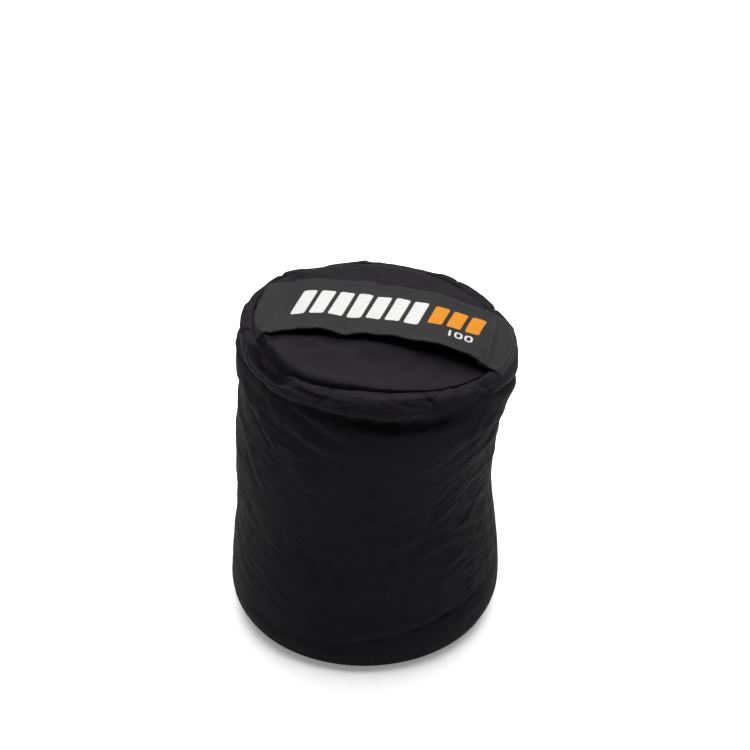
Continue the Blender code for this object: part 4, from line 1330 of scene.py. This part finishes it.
def roundedCopy(name, node, body, slot, material, width, segments=2):
    # a moulded or cast part keeps its solid's shape, with its edges rounded
    bm = bmesh.new()
    bm.from_mesh(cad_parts[node].data)
    bmesh.ops.remove_doubles(bm, verts=bm.verts, dist=0.000005)
    bmesh.ops.dissolve_limit(bm, angle_limit=math.radians(0.1), verts=bm.verts, edges=bm.edges)
    corners = [edge for edge in bm.edges if edge.is_manifold and edge.calc_face_angle(0) > math.radians(35)]
    bmesh.ops.bevel(bm, geom=corners, offset=width, offset_type="OFFSET", segments=segments, profile=0.5,
                    affect="EDGES", clamp_overlap=True, material=-1)
    piece = newPiece(name, bm, material, sharp=50)
    return dress(piece, body, slot, node)


makeTape("zipTapeFront", "zip_tape_front", -1)
makeTape("zipTapeRear", "zip_tape_rear", 1)
makeTab("zipEndLeft", "zip_end_left", -1, -zipper["chainEnds"][0])
makeTab("zipEndRight", "zip_end_right", 1, zipper["chainEnds"][1])
roundedCopy("zipTeethFront", "zip_teeth_front", "bag", "moulded", mouldedTeeth, zipper["toothRound"], 1)
roundedCopy("zipTeethRear", "zip_teeth_rear", "bag", "moulded", mouldedTeeth, zipper["toothRound"], 1)
roundedCopy("zipSlider", "zip_slider", "slider", "metal", sliderMetal, zipper["sliderRound"])
roundedCopy("zipPull", "zip_pull", "pull", "metal", sliderMetal, zipper["pullRound"])
print("zip made")

band = {
    "width": 0.148,
    "thickness": 0.0022,
    "hemFall": (0.0098, 0.0114),  # from the band's edge, where the folded hem ends
    "hemRaise": 0.0009,
    "hemStitches": (0.0030, 0.0085),  # from the band's edge
    "endStitches": (0.0030, 0.0075),  # from the sewn end
    "endStitchHalf": 0.070,
    "freeStitchHalf": 0.072,
    "endInset": 0.0012,
    "endClear": 0.0004,
    "domeReach": 0.186,  # it follows the lid's dome out to here
    "arch": 0.014,
    "rightRaise": 0.007,
    "rightRaiseReach": 0.110,
    "leftPower": 5.0,
    "rightPower": 8.0,
    "pivotReach": 0.148035,
    "bendReach": 0.050,
    "pivotBlend": 0.012,
    "bendBlend": 0.018,
    "freeReach": 0.1640,
    "freeEnd": 0.1760,
    "freeHem": 0.006,  # from the free end in to its stitches
    "endTaper": 0.004,
    "endStack": 0.0032,
    "leftCut": -0.100,
    "rows": 168,
    "edgeRound": 0.0009,
    "sectionShares": (0.375, 0.5, 0.875),  # of the rows, where the top, the rear edge and the underside end
    "buckle": 0.0010,
    "crossSag": 0.0010,  # of its middle between the hems
    "tiltSpread": 0.014,  # over which the hems' waves tilt the whole band
    "waveEnds": (-0.185, 0.178),
    "waveFade": 0.03,
    "strapSpread": 0.006,
    "strapFrom": (0.112, 0.150),  # where the fall to the rim takes over from the arch
    "roundFrom": (0.125, 0.165),  # where it grows round with the lid
    "rearReach": 0.009,  # past the lid's seam, at the sewn end's rear corner
    "rearDrop": 0.009,  # of the free end's rear corner
}

# How far the front and rear hems stand over or under the plain arch, as (distance along the lid, metres)
frontWave = [(-0.175, 0.0), (-0.165, 0.0034), (-0.156, -0.0010), (-0.148, 0.0006), (-0.132, -0.0030),
             (-0.118, -0.0052), (-0.107, -0.0030), (-0.100, -0.0036), (-0.088, -0.0030), (-0.078, -0.0018),
             (-0.066, -0.0044), (-0.056, -0.0070), (-0.047, -0.0102), (-0.038, -0.0104), (-0.028, -0.0060),
             (-0.019, -0.0026), (-0.008, -0.0012), (0.003, -0.0024), (0.012, -0.0016), (0.024, 0.0008),
             (0.034, 0.0014), (0.048, -0.0012), (0.063, -0.0018), (0.082, -0.0008), (0.096, 0.0004), (0.115, 0.0),
             (0.2, 0.0)]
rearWave = [(-0.175, -0.0010), (-0.158, -0.0016), (-0.140, -0.0024), (-0.124, -0.0034), (-0.104, -0.0046),
            (-0.084, -0.0064), (-0.052, -0.0060), (-0.032, -0.0040), (-0.022, -0.0040), (-0.007, -0.0088),
            (0.006, -0.0046), (0.025, -0.0040), (0.042, -0.0066), (0.059, -0.0074), (0.078, -0.0070),
            (0.093, -0.0092), (0.115, -0.0070), (0.135, -0.0020), (0.2, 0.0)]

# the strap's last stretch down to the rim, as (distance from the lid's middle, height of its underside)
strapFall = [(0.130, 0.0288), (0.140, 0.0280), (0.150, 0.0262), (0.160, 0.0236), (0.171, 0.0194), (0.179, 0.0150),
             (0.187, 0.0104), (0.195, 0.0070), (0.2015, 0.0040), (0.2065, -0.0008), (0.2095, -0.0070)]


def bandUnder(x):
    left = band["arch"] * (1 - np.minimum(np.abs(x) / band["pivotReach"], 1) ** band["leftPower"])
    share = np.minimum(np.abs(x) / band["freeReach"], 1) ** band["rightPower"]
    right = mix(band["arch"] + band["rightRaise"] * ease(x / band["rightRaiseReach"]), band["endStack"], share)
    return lidHeight(np.minimum(np.abs(x), band["domeReach"])) + bag["gap"] + np.where(x > 0, right, left)


def bandSection(share):
    # once round the band's section: across the top, over the rear edge, back underneath and up the front edge
    half, edge = band["width"] / 2, band["edgeRound"]
    topEnd, rearEnd, belowEnd = band["sectionShares"]
    onTop, onRear, onFront = share < topEnd, (share >= topEnd) & (share < rearEnd), share >= belowEnd
    top = mix(-half, half, np.clip(share / topEnd, 0, 1))
    rear = np.clip((share - topEnd) / (rearEnd - topEnd), 0, 1) * math.pi
    below = mix(half, -half, np.clip((share - rearEnd) / (belowEnd - rearEnd), 0, 1))
    front = np.clip((share - belowEnd) / (1 - belowEnd), 0, 1) * math.pi
    across = np.select([onTop, onRear, onFront], [top, half, -half], below)
    hem = 1 - span(*band["hemFall"], half - np.abs(across))
    thick = band["thickness"] + hem * band["hemRaise"]
    up = np.select([onTop, onRear, onFront],
                   [thick, thick * (1 + np.cos(rear)) / 2, thick * (1 - np.cos(front)) / 2])
    bulge = np.select([onRear, onFront], [np.sin(rear) * edge, -np.sin(front) * edge])
    return across + bulge, up


def cornerDrop(x, across):
    # the free end's rear corner hangs
    fall = span(0.0, 0.072, across) * span(0.090, 0.140, x)
    return band["rearDrop"] * fall * (1 - 0.7 * span(0.160, 0.186, np.hypot(x, across)))


def strapUnder(x, across):
    # the plain arch, and over the last stretch the fall to the rim, which follows the lid's round edge
    radius = mix(x, np.hypot(x, across), span(*band["roundFrom"], x))
    under = mix(bandUnder(x), wave(radius, strapFall, band["strapSpread"]), span(*band["strapFrom"], x))
    return under - cornerDrop(x, across)


def bandShape(x, across, up):
    # where a point of the free band lies: over the arch, with its hems waving
    half = band["width"] / 2
    toFront = np.clip(0.5 - across / band["width"], 0, 1)
    frontTilt, rearTilt = wave(x, frontWave, band["tiltSpread"]), wave(x, rearWave, band["tiltSpread"])
    tilt = frontTilt * toFront + rearTilt * (1 - toFront)
    hemFront = (wave(x, frontWave) - frontTilt) * ease(toFront * 2.2 - 1.2)
    hemRear = (wave(x, rearWave) - rearTilt) * ease(1 - toFront * 2.2)
    flat = np.stack([x, across, np.zeros_like(x)], axis=-1)
    buckle = softNoise(flat * np.array([1.0, 0.5, 0]), 24.0, 3.7) + 0.4 * softNoise(flat, 60.0, 1.1)
    lift = tilt + hemFront + hemRear + band["buckle"] * buckle - band["crossSag"] * (1 - (across / half) ** 2)
    left, right = band["waveEnds"]
    held = ease((right - x) / band["waveFade"]) * ease((x - left) / band["waveFade"])
    return lidPoint(x, across, strapUnder(x, across) + lift * held + up)


def bandCloth(name, columns, place, material, flatLength):
    # a stretch of band, closed all round. Its cloth map is in metres from the lid's middle
    rows = band["rows"]
    bm = bmesh.new()
    bmesh.ops.create_grid(bm, x_segments=columns, y_segments=rows, size=0.5)
    weave = bm.loops.layers.uv.new("cloth")
    across = bandSection(np.linspace(0, 1, rows + 1))[0].tolist()
    along = [float(flatLength(column / columns)) for column in range(columns + 1)]
    for face in bm.faces:
        for loop in face.loops:
            x, y, _ = loop.vert.co
            loop[weave].uv = (along[round((x + 0.5) * columns)], across[round((y + 0.5) * rows)])
        face.material_index = 0 if face.calc_center_median().y + 0.5 < band["sectionShares"][0] else 1
    bm = placed(bm, lambda x, y, z: place(x + 0.5, y + 0.5))
    closeEnds(bm)
    return newPiece(name, bm, material, plainBandCloth, thread, sharp=50)


def hemRows(place, start, end, length):
    # two rows of stitches along each hem
    hems = [side * (band["width"] / 2 - inset) for side in (-1, 1) for inset in band["hemStitches"]]
    return stitchRows(place, hems, start, end, length, stitch)


def bandRows(start, end):
    up = band["thickness"] + band["hemRaise"] + stitch["lift"]
    return hemRows(lambda x, across: bandShape(x, across, up), start, end, end - start)


def bendPlace(x, length):
    # a place on the band's underside at a hinge, and a length along the band to each side of it
    return Vector(lidPoint(x, 0, bandUnder(np.array(x)))), Vector((length, 0, 0))


def makeBandLeft():
    def onLid(x, across, up, u):
        under = lidTop(x, across) + bag["gap"] + band["endClear"]
        return lidPoint(x, across, under + up * mix(0.5, 1, ease(u / 0.2)))

    def place(u, v):
        across, up = bandSection(v)
        outer = bag["seamRadius"] + band["rearReach"] * span(0.02, 0.07, across)
        arc = -np.sqrt(outer**2 - across**2) + band["endInset"]
        x = mix(arc, band["leftCut"], u)
        share = span(-0.172, -0.134, x)[:, None]
        return mix(onLid(x, across, up, u), bandShape(x, across, up), share)

    piece = bandCloth("bandLeft", 40, place, printedBandCloth,
                      lambda u: mix(-bag["seamRadius"], band["leftCut"], u))

    def acrossEnd(y, inset):
        x = -np.sqrt(bag["seamRadius"] ** 2 - y**2) + inset + band["endInset"]
        return onLid(x, y, band["thickness"] + 2 * stitch["lift"], 1.0)

    half = band["endStitchHalf"]
    rows = stitchRows(acrossEnd, band["endStitches"], -half, half, 2 * half, stitch)
    addStitches(piece, bandRows(-0.152, band["leftCut"]) + rows, stitch, index=2)
    pivot, reach = bendPlace(-band["pivotReach"], band["pivotBlend"])
    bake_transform(piece)
    dress(piece, None, "band_cloth", "band_end_left", "band_left")


def makeBandMiddle():
    def place(u, v):
        across, up = bandSection(v)
        return bandShape(mix(band["leftCut"], 0, u), across, up)

    piece = bandCloth("bandMiddle", 48, place, printedBandCloth, lambda u: mix(band["leftCut"], 0, u))
    addStitches(piece, bandRows(band["leftCut"], 0.0), stitch, index=2)
    bend, reach = bendPlace(-band["bendReach"], band["bendBlend"])
    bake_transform(piece)
    dress(piece, None, "band_cloth", "band_middle")


def makeBandRight():
    def place(u, v):
        across, up = bandSection(v)
        x = mix(0, band["freeEnd"], u)
        return bandShape(x, across, up * mix(0.42, 1, ease((band["freeEnd"] - x) / band["endTaper"])))

    piece = bandCloth("bandRight", 80, place, printedBandCloth, lambda u: mix(0, band["freeEnd"], u))
    half = band["freeStitchHalf"]
    rows = stitchRows(lambda y, x: bandShape(x, y, band["thickness"] + stitch["lift"]),
                      [band["freeEnd"] - band["freeHem"]], -half, half, 2 * half, stitch)
    addStitches(piece, bandRows(0.0, band["freeEnd"] - band["endTaper"]) + rows, stitch, index=2)
    bend, reach = bendPlace(band["bendReach"], band["bendBlend"])
    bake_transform(piece)
    dress(piece, None, "band_cloth", "band_right")


bandEnd = {
    "start": 0.150,
    "end": 0.2100,
    "under": 0.0036,  # below the free stretch that lies on it
    "length": 0.064,  # of the cloth, along its fall
    "columns": 64,
    "hemFrom": 0.80,  # of its length
    "hemRaise": 0.00072,
    "stitchShares": (0.835, 0.905),
}


def endPoint(share, across, up):
    # the end piece comes out from under the free stretch and falls over the rim, round with it
    step = 0.003

    def line(share):
        radius = mix(bandEnd["start"], bandEnd["end"], share)
        under = wave(radius, strapFall, band["strapSpread"]) - bandEnd["under"] * (1 - span(0.174, 0.198, radius))
        under = under - cornerDrop(radius, across)
        return radius, under + 0.0006 * softNoise(np.stack([radius, across, radius], axis=-1), 40.0, 2.2)

    radius, under = line(share)
    (radiusA, underA), (radiusB, underB) = line(share + step), line(share - step)
    dr, dz = radiusA - radiusB, underA - underB
    length = np.maximum(np.hypot(dr, dz), 1e-9)
    radius, height = radius - dz / length * up, under + dr / length * up
    # straight under the band, round where it follows the rim
    x = mix(radius, np.sqrt(np.maximum(radius**2 - across**2, 0)), span(0.155, 0.176, radius))
    return lidPoint(x, across, height)


def makeBandEnd():
    def place(u, v):
        across, up = bandSection(v)
        up = up * mix(0.5, 1, ease(u / 0.06)) * mix(0.35, 1, ease((1 - u) / 0.04))
        hem = span(bandEnd["hemFrom"], bandEnd["hemFrom"] + 0.02, u) * bandEnd["hemRaise"]
        return endPoint(u, across, up + np.where((v > 0.02) & (v < 0.36), hem, 0))

    length, start = bandEnd["length"], bandEnd["start"]
    piece = bandCloth("bandEndRight", bandEnd["columns"], place, plainBandCloth, lambda u: start + u * length)
    thick, half = band["thickness"] + bandEnd["hemRaise"] + stitch["lift"], band["endStitchHalf"]
    rows = stitchRows(lambda y, share: endPoint(share, y, thick), bandEnd["stitchShares"], -half, half, 2 * half,
                      stitch, 1 / length)
    rows += hemRows(lambda share, across: endPoint(share, across, thick), 0.47, 0.97, 0.50 * length)
    addStitches(piece, rows, stitch, index=2)
    dress(piece, "bag", "band_cloth", "band_end_right")


makeBandLeft()
makeBandMiddle()
makeBandRight()
makeBandEnd()
print("band made")

filling = {
    "linerInset": 0.0022,
    "linerThickness": 0.0005,
    "sandInset": 0.0036,
    "edgeShare": 0.945,  # of the way up the wall
    "neckHeight": 0.480,
    "neckRadius": 0.0296,
    "neckTop": 0.0140,
    "pleats": 26,
    "pleatDepth": 0.0011,
    "slump": 0.0022,
    "neckFlare": 0.0022,
    "overBinding": 0.0065,
    "footShare": 0.012,  # of the way up the wall, where the floor meets it
    "footRadius": 0.1785,
    "rowEnds": (0.12, 0.70, 0.92),  # the shares of the rows where the floor, the side and the top end
    "settleRoom": 0.0034,  # kept free inside the wall's creases
}


def insideWall(turn, share, inset):
    # up the inside of the wall, from its foot to the filling's edge
    radius, height = wallPath(share)
    along = wallPath(share + 0.002)
    dr, dz = along[0] - radius, along[1] - height
    length = np.maximum(np.hypot(dr, dz), 1e-9)
    room = filling["settleRoom"] * span(0.012, 0.040, height)
    radius = radius + wallRelief(turn, height) - (inset + room) * dz / length
    return radius, np.maximum(height + inset * dr / length, filling["overBinding"] + inset - filling["linerInset"])


def fillingPlace(u, v, inset, topInset, neck):
    # v runs over the floor, up the wall, in over the top and for the liner up its neck
    turn = math.tau * u + math.pi / 2
    floorEnd, sideEnd, topEnd = filling["rowEnds"]
    floor = np.clip(v / floorEnd, 0, 1)
    side = np.clip((v - floorEnd) / (sideEnd - floorEnd), 0, 1)
    top = np.clip((v - sideEnd) / (topEnd - sideEnd), 0, 1)
    rise = np.clip((v - topEnd) / (1 - topEnd), 0, 1)
    radius, height = insideWall(turn, mix(filling["footShare"], filling["edgeShare"], side), inset)
    foot = insideWall(turn, np.full_like(v, filling["footShare"]), inset)[0]
    inner = np.minimum(foot, filling["footRadius"])
    onFloor = v < floorEnd
    flat = inset + 0.0004 + (filling["overBinding"] - 0.0022) * span(0.168, 0.178, inner * floor)
    radius = np.where(onFloor, inner * floor, radius)
    height = np.where(onFloor, flat, np.maximum(height, flat * (side < 0.02)))
    # the top slopes up to the gathered neck
    edgeRadius, edgeHeight = insideWall(turn, np.full_like(v, filling["edgeShare"]), inset)
    circle = np.stack([np.cos(turn), np.sin(turn), top], axis=-1)
    slump = filling["slump"] * softNoise(circle, 2.4, 6.6) * np.sin(top * math.pi)
    pleat = filling["pleatDepth"] * np.cos(turn * filling["pleats"] + 2 * top) * span(0.35, 1.0, top) * neck
    onTop, onNeck = v > sideEnd, v > topEnd
    reach = mix(edgeRadius, filling["neckRadius"] - topInset, top)
    climb = mix(edgeHeight, filling["neckHeight"] - topInset, ease(top * 0.9 + 0.1 * top)) + slump
    radius = np.where(onTop, reach + pleat * 0.4, radius)
    height = np.where(onTop, climb + pleat * 0.6, height)
    if neck:
        waist = filling["neckRadius"] * (1 - 0.10 * hill(rise, 0.5, 0.22)) + pleat * 0.8
        flare = filling["neckFlare"] * span(0.7, 1.0, rise)
        radius = np.where(onNeck, waist + flare - topInset, radius)
        height = np.where(onNeck, filling["neckHeight"] + filling["neckTop"] * rise, height)
    else:
        radius = np.where(onNeck, (filling["neckRadius"] - topInset) * (1 - rise), radius)
        height = np.where(onNeck, filling["neckHeight"] - topInset + 0.001 * np.sin(rise * math.pi / 2), height)
    return settled(np.maximum(radius, 0), turn, height)


def makeFilling():
    bm = clothGrid(208, 130, lambda u, v: fillingPlace(u, v, filling["linerInset"], 0.0, True), 1.25, 0.7)
    turnOutward(bm)
    liner = newPiece("sandLiner", bm, linerFilm)
    thicken(liner, filling["linerThickness"])
    dress(liner, "bag", "film", "liner_bag")
    bm = clothGrid(180, 120, lambda u, v: fillingPlace(u, v, filling["sandInset"], 0.0016, False), 1.25, 0.7)
    turnOutward(bm)
    dress(newPiece("sandFill", bm, drySand), "bag", "sand", "sand_fill")


makeFilling()
print("filling made")

neckTie = {"radius": 0.0021, "strands": 3, "twists": 34, "reach": 0.0318, "height": 0.487, "slack": 0.0003}


def makeTie():
    def place(u, v):
        turn, roll = math.tau * u, math.tau * v
        lay = np.abs(np.sin((roll * neckTie["strands"] + turn * neckTie["twists"] * neckTie["strands"] / 3) / 2))
        size = neckTie["radius"] * (0.80 + 0.22 * lay)
        slack = neckTie["slack"] * np.sin(turn * 5)
        return settled(neckTie["reach"] + slack + size * np.cos(roll), turn,
                       neckTie["height"] + size * np.sin(roll))

    bm = clothGrid(420, 18, place, math.tau * neckTie["reach"], math.tau * neckTie["radius"])
    bmesh.ops.recalc_face_normals(bm, faces=bm.faces)
    dress(newPiece("neckTie", bm, webbing), "bag", "webbing", "neck_tie")


makeTie()
print("neck tie made")

studio = {
    "floorTone": (0.74, 0.74, 0.74, 1),
    "farTone": (0.97, 0.97, 0.97, 1),
    "paling": (0.5, 2.2),  # from where to where the floor grows paler
    "glowing": (2.4, 6.0),  # and where its own light grows, so that it stays pale to its end
    "glow": (0.22, 0.85),
    "lights": {  # power, size and place
        "top": (330.0, 4.2, (0.0, 0.9, 2.9)),
        "left": (5.0, 1.6, (-2.3, -0.1, 0.9)),
        "right": (3.0, 1.4, (2.4, -0.3, 0.8)),
    },
    "worldLight": (0.15, 0.15, 0.15, 1),
}


def makeStudio():
    bm = bmesh.new()
    bmesh.ops.create_grid(bm, x_segments=4, y_segments=4, size=14)
    material, place, inputs = newMaterial("paleFloor")
    reach = makeNode(place.tree, "VectorMath", {0: place}, "Value", operation="LENGTH")
    glow = stretched(reach, *studio["glowing"], *studio["glow"])
    feedAll(inputs, {
        "Base Color": mixed(stretched(reach, *studio["paling"]), studio["floorTone"], studio["farTone"]),
        "Roughness": 0.9,
        "Specular IOR Level": 0.1,
        "Emission Color": mixed(glow, (0, 0, 0, 1), (1, 1, 1, 1)),
        "Emission Strength": 1.0,
    })
    floor = newPiece("floor", bm, material)
    for name, (power, size, spot) in studio["lights"].items():
        data = bpy.data.lights.new(name, "AREA")
        data.energy = power
        data.size = size
        light = bpy.data.objects.new(name, data)
        light.location = spot
        aim = Vector(cameraView["target"]) - Vector(spot)
        light.rotation_euler = aim.to_track_quat("-Z", "Y").to_euler()
        scene.collection.objects.link(light)
    world = bpy.data.worlds.new("studio")
    scene.world = world
    world.use_nodes = True
    tree = world.node_tree
    background = tree.nodes["Background"]
    background.inputs["Color"].default_value = studio["worldLight"]
    seen = tree.nodes.new("ShaderNodeBackground")
    seen.inputs["Color"].default_value = (1, 1, 1, 1)
    path = tree.nodes.new("ShaderNodeLightPath")
    both = tree.nodes.new("ShaderNodeMixShader")
    tree.links.new(path.outputs["Is Camera Ray"], both.inputs[0])
    tree.links.new(background.outputs[0], both.inputs[1])
    tree.links.new(seen.outputs[0], both.inputs[2])
    tree.links.new(both.outputs[0], tree.nodes["World Output"].inputs["Surface"])
    scene.view_settings.view_transform = "Standard"


makeStudio()
print("studio made")
